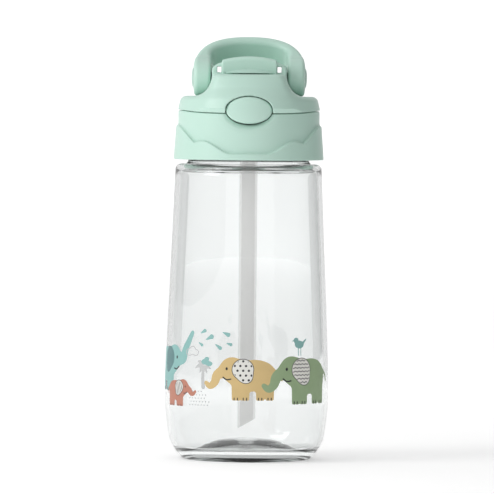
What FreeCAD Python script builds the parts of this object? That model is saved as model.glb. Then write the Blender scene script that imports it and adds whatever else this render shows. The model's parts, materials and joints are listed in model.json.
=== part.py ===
"""Kids' water bottle: a clear straw bottle with a screw lid, a flip cover and a swinging carry handle.

Millimetres. +Z is up, the front, where the push button is, faces -Y, and the origin is the centre of
the base. Every size is a cell of the sheet called Sizes, and the sketches and features are bound to
those cells, so changing one cell moves whatever fits it.
"""
import FreeCAD, Part

import math
import os

import Sketcher

SIZES = {
    # bottle body
    "belly_radius": 36.5,          # widest outer radius of the bottle
    "belly_height": 27.0,          # height of that widest place
    "belly_band": 9.0,             # height over which it stays that wide
    "foot_radius": 28.4,           # outer radius of the ring the bottle stands on
    "foot_width": 3.4,             # width of that ring
    "heel_radius": 34.6,           # outer radius where the rounded heel begins to steepen
    "heel_height": 9.3,
    "heel_curve": 24.0,            # radius of the heel's lower arc
    "shoulder_radius": 32.7,       # outer radius under the rounded shoulder
    "body_height": 131.8,          # height of the shoulder's top
    "shoulder_curve": 2.5,         # radius of the rounded shoulder
    "bottle_wall": 2.0,
    "base_wall": 2.6,
    "punt_radius": 24.4,           # raised centre of the base
    "punt_rise": 2.6,
    # neck and its thread
    "neck_radius": 27.1,
    "neck_length": 13.4,
    "thread_pitch": 4.0,
    "thread_turns": 1.25,
    "thread_depth": 1.0,
    "thread_root": 1.7,            # width of a ridge where it joins its wall
    "thread_crest": 0.8,           # width of a ridge at its crest
    "thread_play": 0.35,           # radial gap between a ridge's crest and the other wall
    "thread_start": 3.4,           # height of the neck's ridge above the shoulder
    # lid
    "lid_gap": 1.8,                # between the shoulder and the lid's lower edge
    "skirt_proud": 2.0,            # how far the skirt's lower edge stands out of the plain band
    "skirt_top_proud": 0.9,        # how far its upper edge stands out
    "skirt_height": 15.3,          # height of the raised skirt
    "lid_height": 21.8,            # lid's lower edge up to its rim
    "lid_wall": 1.35,
    "rim_wall": 2.0,
    "thread_room": 0.7,            # between the neck's ridge and the insert's wall
    "insert_wall": 1.3,            # thickness of the threaded insert
    "deck_wall": 1.4,
    "snap_play": 0.05,             # gap between pieces that snap together
    "gasket_height": 1.15,
    "gasket_width": 3.2,
    "wave_low": 2.9,               # wave edge at the front, above the lid's lower edge
    "wave_flat": 8.0,              # half width of its flat front
    "wave_crest": 8.5,             # height of its crest
    "wave_crest_side": 21.0,       # how far the crest is to the side
    "wave_dip": 7.8,               # height of the dip behind the crest
    "wave_dip_side": 24.4,
    "wave_end_side": 31.0,         # how far to the side the wave meets the skirt's top
    # push button
    "button_half_width": 10.15,
    "button_half_height": 6.3,
    "button_end_curve": 5.0,       # radius of the oval's two ends
    "button_drop": 0.3,            # how far its centre lies under the seam
    "button_wall": 2.4,
    "button_proud": 0.5,           # how far it stands out of the band
    "button_gap": 0.4,
    "button_travel": 2.0,
    "scoop_half_width": 13.0,      # finger scoop around the button
    "scoop_half_height": 9.4,
    "scoop_depth": 1.3,
    # catch, latch and their guide
    "catch_half_width": 4.0,
    "catch_wall": 1.4,
    "catch_hook": 1.2,
    "catch_gap": 1.2,              # between the catch and the button pressed home
    "latch_bite": 0.9,             # how far the latch lies over the hook
    "latch_wall": 1.4,
    "latch_arm": 1.8,
    "latch_gap": 0.4,
    "guide_wall": 1.6,
    "spring_room": 4.8,            # between the latch and the guide's back wall
    "guide_height": 8.2,
    "button_spring_radius": 2.3,
    "button_spring_wire": 0.5,
    "button_spring_turns": 4.0,
    # mouthpiece, straw and valve
    "straw_radius": 4.0,
    "straw_wall": 1.0,
    "straw_tip_height": 13.6,      # lowest point of the slanted tip
    "straw_tip_slant": 4.5,        # how much higher the other side of the tip is
    "straw_socket": 8.0,           # how far the straw enters the mouthpiece
    "sleeve_wall": 1.7,
    "mouth_flange_radius": 9.0,
    "mouth_flange": 1.6,
    "mouth_root_radius": 6.0,
    "mouth_waist_radius": 4.8,
    "mouth_tip_radius": 6.2,
    "mouth_height": 18.4,          # tip above the deck
    "mouth_bore": 2.2,
    "ring_wall": 2.6,
    "ring_height": 3.2,
    "valve_radius": 3.6,
    "valve_stem": 1.3,
    "valve_distance": 17.5,
    # flip cover
    "seam_gap": 0.3,
    "cover_overhang": 0.2,         # how far the cover's lower edge stands out of the lid's band
    "cover_lean": 0.9,             # how far its side has leant in below its rounded top edge
    "cover_waist": 5.0,            # height of that place above the seam
    "cover_edge_curve": 2.6,
    "cover_top": 6.8,              # height of the cover's flat top above the seam
    "cover_wall": 2.1,
    "block_low_half_width": 19.8,
    "block_top_half_width": 15.5,
    "block_height": 9.9,           # block's top above the cover's flat top
    "block_inset": 0.2,            # block's front behind the cover's side, at the cover's top
    "block_front_lean": 4.4,       # how far the block's front leans back
    "block_back_low": 24.0,
    "block_back_top": 19.0,
    "block_front_curve": 40.0,     # radius of its rounded front, seen from above
    "cavity_half_width": 12.0,
    "cavity_half_depth": 12.5,
    "cavity_roof": 2.2,
    "ear_half_width": 16.4,
    "ear_rise": 5.3,               # ear's top above the block's top
    "ear_front": 14.5,             # front face of the ears, ahead of the centre
    "ear_depth": 22.0,
    "bridge_half_width": 12.2,
    "bridge_rise": 8.0,            # bridge's middle above the block's top
    "bridge_end_rise": 6.4,
    "bridge_mouth": 2.2,           # height of the hollow under the bridge
    "bridge_mouth_half_width": 11.0,
    "bridge_mouth_depth": 3.0,
    "window_width": 1.8,
    "window_height": 3.0,
    # hinge
    "hinge_reach": 1.7,            # pin's axis behind the lid's band
    "hinge_rise": 2.7,             # pin's axis above the seam
    "knuckle_radius": 2.8,
    "pin_radius": 1.25,
    "pin_play": 0.05,
    "knuckle_middle": 4.0,         # half length of the cover's knuckle
    "knuckle_inner": 8.2,          # where each of the lid's knuckles begins
    "knuckle_outer": 12.2,
    "notch_gap": 0.45,
    "hinge_spring_radius": 1.95,
    "hinge_spring_wire": 0.6,
    "hinge_spring_turns": 4.0,
    "hinge_spring_leg": 2.2,
    # carry handle
    "pivot_drop": 2.3,             # pivot's axis below the block's top
    "pivot_back": 2.0,             # pivot's axis behind the centre
    "handle_lean": 55.0,           # degrees, how far the handle leans back at rest
    "handle_reach": 24.6,          # pivot to the handle's outer top
    "handle_wall": 4.8,
    "hub_wall": 6.8,               # hub's thickness inside the strap's outer face
    "hub_proud": 1.0,              # how far the hub stands out of that face
    "hub_gap": 0.4,                # between the hub's rim and its recess in the block
    "handle_half_width": 24.0,
    "handle_corner": 19.0,         # outer radius of the loop's corners
    "strap_width": 12.0,
    "hub_radius": 7.3,
    "boss_radius": 5.2,
    "boss_gap": 0.35,
    "pivot_radius": 2.6,
    "pivot_play": 0.06,
    "pivot_reach": 4.0,            # length of the pin beyond the arm
    "cap_radius": 5.4,
    "cap_dome": 0.6,
    "cap_gap": 0.2,
}


class Size:
    """A number and the sheet expression that gives it, so that both are written once."""

    def __init__(self, value, text):
        self.value = value
        self.text = text

    def _join(self, other, sign, result):
        text = other.text if isinstance(other, Size) else repr(float(other))
        return Size(result, f"({self.text} {sign} {text})")

    def __add__(self, other):
        return self._join(other, "+", self.value + number(other))

    def __sub__(self, other):
        return self._join(other, "-", self.value - number(other))

    def __mul__(self, other):
        return self._join(other, "*", self.value * number(other))

    def __truediv__(self, other):
        return self._join(other, "/", self.value / number(other))

    def __neg__(self):
        return Size(-self.value, f"(0 - {self.text})")


def number(item):
    """The plain number of a Size or of a number."""
    return item.value if isinstance(item, Size) else float(item)


def root(size):
    """The square root of a Size."""
    return Size(math.sqrt(size.value), f"sqrt({size.text})")


def sine(size):
    """The sine of a Size in degrees."""
    return Size(math.sin(math.radians(size.value)), f"sin({size.text} * 1 deg)")


def cosine(size):
    """The cosine of a Size in degrees."""
    return Size(math.cos(math.radians(size.value)), f"cos({size.text} * 1 deg)")


class Sheet:
    """The driving dimensions: sheet.word gives that cell as a Size."""

    def __init__(self, document, sizes):
        cells = document.addObject("Spreadsheet::Sheet", "Sizes")
        for row, (alias, value) in enumerate(sizes.items(), start=1):
            cells.set(f"A{row}", alias.replace("_", " "))
            cells.set(f"B{row}", str(value))
            cells.setAlias(f"B{row}", alias)
        document.recompute()
        self._sizes = sizes

    def __getattr__(self, alias):
        return Size(self._sizes[alias], f"Sizes.{alias}")


ZERO = Size(0.0, "0")
DOC = FreeCAD.newDocument("KidsWaterBottle")
S = Sheet(DOC, SIZES)
PIECES = []


# ---------------------------------------------------------------- shared places, worked out from the sheet

NECK_TOP = S.body_height + S.neck_length
LID_FOOT = S.body_height + S.lid_gap
SKIRT_TOP = LID_FOOT + S.skirt_height
LID_RIM = LID_FOOT + S.lid_height
SEAM = LID_RIM + S.seam_gap
INSERT_ROOF = NECK_TOP + S.gasket_height
DECK = INSERT_ROOF + S.insert_wall
DECK_TOP = DECK + S.deck_wall
INSERT_BORE = S.neck_radius + S.thread_depth + S.thread_room
INSERT_RADIUS = INSERT_BORE + S.insert_wall
LID_BORE = INSERT_RADIUS + S.snap_play
BAND_RADIUS = LID_BORE + S.lid_wall
LID_RADIUS = BAND_RADIUS + S.skirt_proud
SKIRT_TOP_RADIUS = BAND_RADIUS + S.skirt_top_proud
RIM_BORE = BAND_RADIUS - S.rim_wall
COVER_RADIUS = BAND_RADIUS + S.cover_overhang
COVER_WAIST_RADIUS = BAND_RADIUS - S.cover_lean
COVER_TOP = SEAM + S.cover_top
BLOCK_TOP = COVER_TOP + S.block_height
CAVITY_TOP = BLOCK_TOP - S.cavity_roof
HINGE_HEIGHT = SEAM + S.hinge_rise
HINGE_DISTANCE = BAND_RADIUS + S.hinge_reach
PIVOT_HEIGHT = BLOCK_TOP - S.pivot_drop
BUTTON_MIDDLE = SEAM - S.button_drop
HUB_INSIDE = S.handle_half_width - S.hub_wall
BOSS_REACH = HUB_INSIDE - S.boss_gap
SLEEVE_RADIUS = S.straw_radius + S.sleeve_wall
STRAW_TOP = DECK_TOP - 0.6
BUTTON_BACK = ZERO - BAND_RADIUS - S.button_proud + S.button_wall
CATCH_FRONT = BUTTON_BACK + S.button_travel + S.catch_gap
HOOK_BACK = CATCH_FRONT + S.catch_wall + S.catch_hook
HOOK_TOP = BUTTON_MIDDLE - 1.4
LATCH_FRONT = HOOK_BACK - S.latch_bite
LATCH_BACK = LATCH_FRONT + S.latch_wall + S.latch_bite
GUIDE_FRONT = LATCH_BACK + S.spring_room


# ---------------------------------------------------------------- drawing helpers

def piece(name):
    """A new sub-part: a body whose label is its file's name."""
    body = DOC.addObject("PartDesign::Body", name)
    body.Label = name
    PIECES.append(body)
    return body


def bind(item, path, size):
    """Bind one property of a feature to the sheet."""
    item.setExpression(path, size.text)


def sketch_on(body, plane, shift=(ZERO, ZERO, ZERO)):
    """A sketch on one of the body's own origin planes, its origin moved by shift in the sketch's axes."""
    drawing = body.newObject("Sketcher::SketchObject", f"{body.Label}_sketch")
    support = [item for item in body.Origin.OriginFeatures if item.Role == f"{plane}_Plane"][0]
    drawing.AttachmentSupport = [(support, "")]
    drawing.MapMode = "FlatFace"
    place = FreeCAD.Vector(*[size.value for size in shift])
    drawing.AttachmentOffset = FreeCAD.Placement(place, FreeCAD.Rotation())
    for axis, size in zip("xyz", shift):
        if size is not ZERO:
            bind(drawing, f"AttachmentOffset.Base.{axis}", size)
    return drawing


def limit(drawing, kind, where, size):
    """Add one constraint whose value comes from the sheet."""
    index = drawing.addConstraint(Sketcher.Constraint(kind, *where, size.value))
    drawing.setExpression(f"Constraints[{index}]", size.text)


def edge_between(start, end, bend):
    """(curve, its start's point number, its end's point number): a line, or an arc of radius and side."""
    first = FreeCAD.Vector(start[0].value, start[1].value, 0)
    last = FreeCAD.Vector(end[0].value, end[1].value, 0)
    if bend is None:
        return Part.LineSegment(first, last), 1, 2
    radius, side = bend[0].value, bend[1]
    along = last - first
    left = FreeCAD.Vector(-along.y, along.x, 0) / along.Length
    height = math.sqrt(max(radius**2 - along.Length**2 / 4, 0))
    centre = (first + last) / 2 + left * (side * height)
    opening, closing = (first, last) if side > 0 else (last, first)
    angles = [math.atan2(point.y - centre.y, point.x - centre.x) for point in (opening, closing)]
    circle = Part.Circle(centre, FreeCAD.Vector(0, 0, 1), radius)
    arc = Part.ArcOfCircle(circle, *angles)
    return (arc, 1, 2) if side > 0 else (arc, 2, 1)


def outline(drawing, points):
    """Draw a closed outline. A point is (u, v) or (u, v, (radius, side)), an arc to the next point.

    side is 1 where the arc's centre is on the left of the way to the next point and -1 on the right.
    """
    made = []
    for point, following in zip(points, points[1:] + points[:1]):
        bend = point[2] if len(point) > 2 else None
        curve, start, end = edge_between(point, following, bend)
        made.append((drawing.addGeometry(curve, False), start, end, bend))
    for this, after in zip(made, made[1:] + made[:1]):
        drawing.addConstraint(Sketcher.Constraint("Coincident", this[0], this[2], after[0], after[1]))
    for (index, start, _, bend), point in zip(made, points):
        limit(drawing, "DistanceX", (-1, 1, index, start), point[0])
        limit(drawing, "DistanceY", (-1, 1, index, start), point[1])
        if bend:
            limit(drawing, "Radius", (index,), bend[0])
    return drawing


def rectangle(drawing, low_u, high_u, low_v, high_v):
    """Draw a rectangle between two corners."""
    return outline(drawing, [(low_u, low_v), (high_u, low_v), (high_u, high_v), (low_u, high_v)])


def ring_of(drawing, radii, centre=(ZERO, ZERO)):
    """Draw circles about one centre."""
    for radius in radii:
        place = FreeCAD.Vector(centre[0].value, centre[1].value, 0)
        index = drawing.addGeometry(Part.Circle(place, FreeCAD.Vector(0, 0, 1), radius.value), False)
        limit(drawing, "DistanceX", (-1, 1, index, 3), centre[0])
        limit(drawing, "DistanceY", (-1, 1, index, 3), centre[1])
        limit(drawing, "Radius", (index,), radius)
    return drawing


def oval(drawing, half_width, half_height, end_curve):
    """Draw an oval of four tangent arcs about the sketch's origin."""
    across = half_width - end_curve
    spare = half_height - end_curve
    long_curve = (across * across + half_height * half_height - end_curve * end_curve) / (spare * 2)
    reach = end_curve / (long_curve - end_curve)
    u = across + across * reach
    v = (long_curve - half_height) * reach
    return outline(drawing, [
        (u, -v, (end_curve, 1)),
        (u, v, (long_curve, 1)),
        (-u, v, (end_curve, 1)),
        (-u, -v, (long_curve, 1)),
    ])


def feature(body, kind, drawing):
    """A sketch-based feature of a body."""
    made = body.newObject(f"PartDesign::{kind}", f"{body.Label}_{kind}")
    made.Profile = drawing
    return made


def turned(body, drawing, kind="Revolution", axis="V_Axis"):
    """Revolve a sketch by a full turn about one of its axes, or cut that shape away as a groove."""
    made = feature(body, kind, drawing)
    made.ReferenceAxis = (drawing, [axis])
    made.Angle = 360
    DOC.recompute()
    return made


def pushed(body, drawing, length=None, kind="Pad", both=False, reverse=False):
    """Pad or pocket a sketch by a length; both means half of it each way, and no length cuts through all."""
    made = feature(body, kind, drawing)
    if length is None:
        made.Type = "ThroughAll"
    else:
        made.Length = length.value
        bind(made, "Length", length)
    if both:
        made.SideType = "Symmetric"
    made.Reversed = reverse
    DOC.recompute()
    return made


def lofted(body, drawings, kind="AdditiveLoft"):
    """Loft through sketches, or cut that shape away."""
    made = feature(body, kind, drawings[0])
    made.Sections = drawings[1:]
    made.Ruled = True
    DOC.recompute()
    return made


def coiled(body, drawing, pitch, turns, axis="V_Axis"):
    """Sweep a sketch along a helix about one of its axes."""
    made = feature(body, "AdditiveHelix", drawing)
    made.ReferenceAxis = (drawing, [axis])
    made.Mode = "pitch-turns-angle"
    made.Pitch = pitch.value
    made.Turns = turns.value
    bind(made, "Pitch", pitch)
    bind(made, "Turns", turns)
    DOC.recompute()
    return made


def tube(body, inner, outer, low, high):
    """A plain ring about the centre line, between two heights."""
    return turned(body, rectangle(sketch_on(body, "XZ"), inner, outer, low, high))


# ---------------------------------------------------------------- bottle

def ridge(drawing, wall, low, depth):
    """A thread ridge's section on a wall; depth is positive outwards and negative inwards."""
    slope = (S.thread_root - S.thread_crest) / 2
    bury = Size(0.3 if depth.value > 0 else -0.3, "0.3" if depth.value > 0 else "(0 - 0.3)")
    return outline(drawing, [
        (wall - bury, low),
        (wall + depth, low + slope),
        (wall + depth, low + slope + S.thread_crest),
        (wall - bury, low + S.thread_root),
    ])


def make_bottle():
    """The clear body: one blow-moulded shell with a raised base, a threaded neck and an open mouth."""
    body = piece("bottle_body")
    wall = S.bottle_wall
    # the flank's arc is upright where it meets the belly
    widening = S.belly_radius - S.heel_radius
    rise = S.belly_height - S.heel_height
    flank = (widening * widening + rise * rise) / (widening * 2)
    inner_neck = S.neck_radius - wall
    outer = [
        (S.foot_radius, ZERO),
        (S.foot_radius + 0.4, Size(0.5, "0.5"), (S.heel_curve, 1)),
        (S.heel_radius, S.heel_height, (flank, 1)),
        (S.belly_radius, S.belly_height),
        (S.belly_radius, S.belly_height + S.belly_band),
        (S.shoulder_radius, S.body_height - S.shoulder_curve, (S.shoulder_curve, 1)),
        (S.shoulder_radius - S.shoulder_curve, S.body_height),
        (S.neck_radius, S.body_height),
        (S.neck_radius, NECK_TOP),
    ]
    inner = [
        (inner_neck, NECK_TOP),
        (inner_neck, S.body_height - wall),
        (S.shoulder_radius - S.shoulder_curve - 0.6, S.body_height - wall),
        (S.shoulder_radius - wall, S.body_height - wall - S.shoulder_curve),
        (S.belly_radius - wall, S.belly_height + S.belly_band),
        (S.belly_radius - wall, S.belly_height, (flank - wall, -1)),
        (S.heel_radius - wall - 0.3, S.heel_height + 0.8, (S.heel_curve - wall, -1)),
        (S.foot_radius - 0.6, S.base_wall + 0.3),
        (S.foot_radius - S.foot_width, S.base_wall),
        (S.punt_radius, S.base_wall + 0.7),
        (ZERO, S.base_wall + 0.7 + S.punt_rise),
        (ZERO, S.punt_rise),
        (S.punt_radius - 1.4, Size(0.7, "0.7")),
        (S.foot_radius - S.foot_width, ZERO),
    ]
    turned(body, outline(sketch_on(body, "XZ"), outer + inner))
    coiled(body, ridge(sketch_on(body, "XZ"), S.neck_radius, S.body_height + S.thread_start,
                       S.thread_depth), S.thread_pitch, S.thread_turns)


# ---------------------------------------------------------------- lid

def make_insert():
    """The threaded insert inside the lid, with its roof over the bottle's mouth."""
    body = piece("inner_cap")
    wall = [
        (INSERT_BORE, LID_FOOT + 0.9),
        (INSERT_RADIUS, LID_FOOT + 0.9),
        (INSERT_RADIUS, DECK),
        (SLEEVE_RADIUS, DECK),
        (SLEEVE_RADIUS, INSERT_ROOF),
        (INSERT_BORE, INSERT_ROOF),
    ]
    turned(body, outline(sketch_on(body, "XZ"), wall))
    crest = S.neck_radius + S.thread_play
    # the two ridges lie half a pitch apart, so each fills the middle of the other's gap
    low = S.body_height + S.thread_start + S.thread_pitch / 2
    coiled(body, ridge(sketch_on(body, "XZ"), INSERT_BORE, low, crest - INSERT_BORE),
           S.thread_pitch, S.thread_turns)
    hole = ring_of(sketch_on(body, "XY", (ZERO, ZERO, INSERT_ROOF - 1.0)), [S.valve_stem],
                   (ZERO, S.valve_distance))
    pushed(body, hole, S.insert_wall + 2.0, "Pocket", reverse=True)


def wave_edge():
    """The sky above the wavy edge of the raised skirt, seen from the front."""
    rise = (S.wave_crest - S.wave_low) / 2
    run = (S.wave_crest_side - S.wave_flat) / 2
    bend = (run * run + rise * rise) / (rise * 2)
    foot, crest, dip = LID_FOOT + S.wave_low, LID_FOOT + S.wave_crest, LID_FOOT + S.wave_dip
    sky = LID_RIM + 2.0
    out = LID_RADIUS + 2.0
    half = [
        (S.wave_flat, foot, (bend, 1)),
        (S.wave_flat + run, foot + rise, (bend, -1)),
        (S.wave_crest_side, crest, (bend, -1)),
        (S.wave_dip_side, dip),
        (S.wave_end_side, SKIRT_TOP),
        (out, SKIRT_TOP),
        (out, sky),
    ]
    mirrored = [(-point[0], point[1]) for point in half]
    other = []
    for index in range(len(half) - 1, -1, -1):
        bend_here = half[index - 1][2] if index > 0 and len(half[index - 1]) > 2 else None
        other.append(mirrored[index] + ((bend_here,) if bend_here else ()))
    return half + other


def make_lid():
    """The lid's outer shell: a raised wavy skirt, a plain band, a deck, a rim and the hinge's knuckles."""
    body = piece("lid_shell")
    skirt = [
        (BAND_RADIUS - 0.3, LID_FOOT),
        (LID_RADIUS - 0.3, LID_FOOT),
        (LID_RADIUS, LID_FOOT + 0.3),
        (SKIRT_TOP_RADIUS, SKIRT_TOP - 0.2),
        (BAND_RADIUS - 0.3, SKIRT_TOP + SKIRT_TOP_RADIUS - BAND_RADIUS + 0.1),
    ]
    turned(body, outline(sketch_on(body, "XZ"), skirt))
    pushed(body, outline(sketch_on(body, "XZ"), wave_edge()), None, "Pocket", both=True)
    band = [
        (LID_BORE, LID_FOOT),
        (BAND_RADIUS, LID_FOOT),
        (BAND_RADIUS, LID_RIM - 0.4),
        (BAND_RADIUS - 0.4, LID_RIM),
        (RIM_BORE, LID_RIM),
        (RIM_BORE, DECK_TOP),
        (SLEEVE_RADIUS, DECK_TOP),
        (SLEEVE_RADIUS, DECK),
        (LID_BORE, DECK),
    ]
    turned(body, outline(sketch_on(body, "XZ"), band))
    make_lid_knuckles(body)
    cut_button_place(body)
    hole = ring_of(sketch_on(body, "XY", (ZERO, ZERO, DECK - 1.0)), [S.valve_stem],
                   (ZERO, S.valve_distance))
    pushed(body, hole, S.deck_wall + 2.0, "Pocket", reverse=True)


def make_lid_knuckles(body):
    """Two knuckles behind the lid's rim, on brackets that grow out of the band."""
    length = S.knuckle_outer - S.knuckle_inner
    middle = (S.knuckle_outer + S.knuckle_inner) / 2
    for side in (1, -1):
        centre = middle * side
        bracket = sketch_on(body, "YZ", (ZERO, ZERO, centre))
        foot = HINGE_HEIGHT - S.knuckle_radius * 3.2
        outline(bracket, [
            (BAND_RADIUS - 1.6, foot),
            (BAND_RADIUS - 0.4, foot),
            (HINGE_DISTANCE + S.knuckle_radius, HINGE_HEIGHT - 1.2),
            (HINGE_DISTANCE + S.knuckle_radius, HINGE_HEIGHT),
            (HINGE_DISTANCE, HINGE_HEIGHT),
            (HINGE_DISTANCE - S.knuckle_radius + 0.6, LID_RIM),
            (BAND_RADIUS - 1.6, LID_RIM),
        ])
        pushed(body, bracket, length, both=True)
        barrel = sketch_on(body, "YZ", (ZERO, ZERO, centre))
        ring_of(barrel, [S.knuckle_radius], (HINGE_DISTANCE, HINGE_HEIGHT))
        pushed(body, barrel, length, both=True)
    bore = sketch_on(body, "YZ")
    ring_of(bore, [S.pin_radius], (HINGE_DISTANCE, HINGE_HEIGHT))
    pushed(body, bore, S.knuckle_outer * 2 + 2.0, "Pocket", both=True)


def cut_button_place(body):
    """The finger scoop, and the hole that the button moves in."""
    faces = []
    for distance, width, height in (
        (BAND_RADIUS + 2.0, S.scoop_half_width, S.scoop_half_height),
        (BAND_RADIUS - S.scoop_depth, S.button_half_width + 1.2, S.button_half_height + 1.2),
    ):
        face = sketch_on(body, "XZ", (ZERO, BUTTON_MIDDLE, distance))
        faces.append(oval(face, width, height, height * 0.75))
    lofted(body, faces, "SubtractiveLoft")
    hole = sketch_on(body, "XZ", (ZERO, BUTTON_MIDDLE, ZERO - BUTTON_BACK - S.button_travel - 0.5))
    oval(hole, S.button_half_width + S.button_gap, S.button_half_height + S.button_gap,
         S.button_end_curve + S.button_gap)
    pushed(body, hole, BAND_RADIUS, "Pocket", reverse=True)


def make_gasket():
    """The ring that seals the roof of the insert on the mouth's rim."""
    body = piece("lid_gasket")
    middle = S.neck_radius - S.bottle_wall / 2
    half = S.gasket_width / 2
    tube(body, middle - half, middle + half, NECK_TOP + S.snap_play, INSERT_ROOF - S.snap_play)


def make_straw():
    """A plain tube with a slanted lower tip."""
    body = piece("straw")
    tube(body, S.straw_radius - S.straw_wall, S.straw_radius, S.straw_tip_height, STRAW_TOP)
    low, high = S.straw_tip_height, S.straw_tip_height + S.straw_tip_slant
    out = S.straw_radius
    wedge = sketch_on(body, "XZ")
    outline(wedge, [(-out, low), (out, low - 1.0), (out, high)])
    pushed(body, wedge, None, "Pocket", both=True)


def make_mouthpiece():
    """The soft spout: a sleeve that grips the straw, a flange on the deck and an upright bite tip."""
    body = piece("mouthpiece")
    grip = S.straw_radius + S.snap_play
    sleeve_low = STRAW_TOP - S.straw_socket
    tip = DECK_TOP + S.mouth_height
    flange_top = DECK_TOP + S.mouth_flange
    shape = [
        (grip, sleeve_low),
        (SLEEVE_RADIUS - S.snap_play, sleeve_low),
        (SLEEVE_RADIUS - S.snap_play, DECK_TOP),
        (S.mouth_flange_radius, DECK_TOP),
        (S.mouth_flange_radius, flange_top),
        (S.mouth_root_radius + 0.6, flange_top),
        (S.mouth_root_radius, flange_top + 0.6),
        (S.mouth_waist_radius, tip - 6.4),
        (S.mouth_tip_radius, tip - 3.6),
        (S.mouth_tip_radius - 0.3, tip - 1.4),
        (S.mouth_waist_radius - 0.8, tip),
        (S.mouth_bore, tip),
        (S.mouth_bore, STRAW_TOP + 1.2),
        (S.straw_radius - S.straw_wall, STRAW_TOP + S.snap_play),
        (grip, STRAW_TOP + S.snap_play),
    ]
    turned(body, outline(sketch_on(body, "XZ"), shape))


def make_ring():
    """The hard ring that holds the mouthpiece's flange down on the deck."""
    body = piece("mouthpiece_ring")
    inside = S.mouth_flange_radius + S.snap_play
    top = DECK_TOP + S.mouth_flange
    shape = [
        (inside, DECK_TOP),
        (inside + S.ring_wall, DECK_TOP),
        (inside + S.ring_wall, DECK_TOP + S.ring_height - 0.6),
        (inside + S.ring_wall - 0.6, DECK_TOP + S.ring_height),
        (S.mouth_root_radius + 1.4, DECK_TOP + S.ring_height),
        (S.mouth_root_radius + 1.0, top + S.snap_play),
        (inside, top + S.snap_play),
    ]
    turned(body, outline(sketch_on(body, "XZ"), shape))


def make_valve():
    """The air valve: a soft umbrella on the deck, behind the mouthpiece, with its stem through the lid."""
    body = piece("vent_valve")
    stem = S.valve_stem - S.snap_play
    shape = [
        (ZERO, INSERT_ROOF - 1.6),
        (stem, INSERT_ROOF - 1.2),
        (stem, DECK_TOP),
        (S.valve_radius, DECK_TOP),
        (S.valve_radius, DECK_TOP + 0.5),
        (ZERO, DECK_TOP + 1.3),
    ]
    # the umbrella's own axis stands behind the centre line
    turned(body, outline(sketch_on(body, "XZ", (ZERO, ZERO, -S.valve_distance)), shape))


# ---------------------------------------------------------------- button, latch and guide

def make_button():
    """The oval push button: a curved plate that stands a little proud of the lid's band."""
    body = piece("push_button")
    depth = S.button_wall + 6.0
    plate = sketch_on(body, "XZ", (ZERO, BUTTON_MIDDLE, ZERO - BUTTON_BACK - 2.2))
    oval(plate, S.button_half_width, S.button_half_height, S.button_end_curve)
    pushed(body, plate, depth)
    face = BAND_RADIUS + S.button_proud
    away = rectangle(sketch_on(body, "XZ"), face, face + 20.0, LID_FOOT, BLOCK_TOP)
    turned(body, away, "Groove")
    hollow = rectangle(sketch_on(body, "XZ"), ZERO, face - S.button_wall, LID_FOOT, BLOCK_TOP)
    turned(body, hollow, "Groove")


def make_latch():
    """The frame behind the button: two arms, and a bar that lies over the hook of the cover's catch."""
    body = piece("button_latch")
    inside = S.catch_half_width + S.latch_gap
    outside = inside + S.latch_arm
    low, high = HOOK_TOP + 0.3, HOOK_TOP + 2.9
    # the arms end where their outer edges meet the hollow back of the button's plate
    front = ZERO - root(BUTTON_BACK * BUTTON_BACK - outside * outside) + 0.02
    frame = sketch_on(body, "XY", (ZERO, ZERO, low))
    outline(frame, [
        (-outside, front),
        (-inside, front),
        (-inside, LATCH_FRONT),
        (inside, LATCH_FRONT),
        (inside, front),
        (outside, front),
        (outside, LATCH_BACK),
        (-outside, LATCH_BACK),
    ])
    pushed(body, frame, high - low)


def make_guide():
    """The guide on the deck: side rails for the latch's arms and a wall for the return spring."""
    body = piece("button_guide")
    inside = S.catch_half_width + S.latch_gap * 2 + S.latch_arm
    outside = inside + S.guide_wall
    back = GUIDE_FRONT
    front = BUTTON_BACK + S.button_travel + 2.4
    plan = sketch_on(body, "XY", (ZERO, ZERO, DECK_TOP))
    outline(plan, [
        (-outside, front),
        (-inside, front),
        (-inside, back),
        (inside, back),
        (inside, front),
        (outside, front),
        (outside, back + S.guide_wall),
        (-outside, back + S.guide_wall),
    ])
    pushed(body, plan, S.guide_height)


def make_button_spring():
    """The return spring between the latch's bar and the guide's wall."""
    body = piece("button_spring")
    wire = S.button_spring_wire / 2
    start = LATCH_BACK + wire + 0.05
    room = GUIDE_FRONT - wire - 0.05 - start
    height = HOOK_TOP + 1.6
    section = sketch_on(body, "YZ", (start, height, ZERO))
    ring_of(section, [wire], (ZERO, S.button_spring_radius))
    coiled(body, section, room / S.button_spring_turns, S.button_spring_turns, "H_Axis")


# ---------------------------------------------------------------- flip cover

def rounded_block(body, height, half_width, front, back):
    """The block's outline at one height, with a rounded front that follows the cover."""
    plan = sketch_on(body, "XY", (ZERO, ZERO, height))
    curve = S.block_front_curve
    sag = curve - root(curve * curve - half_width * half_width)
    return outline(plan, [
        (-half_width, sag - front, (curve, 1)),
        (half_width, sag - front),
        (half_width, back - sag, (curve, 1)),
        (-half_width, back - sag),
    ])


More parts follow.
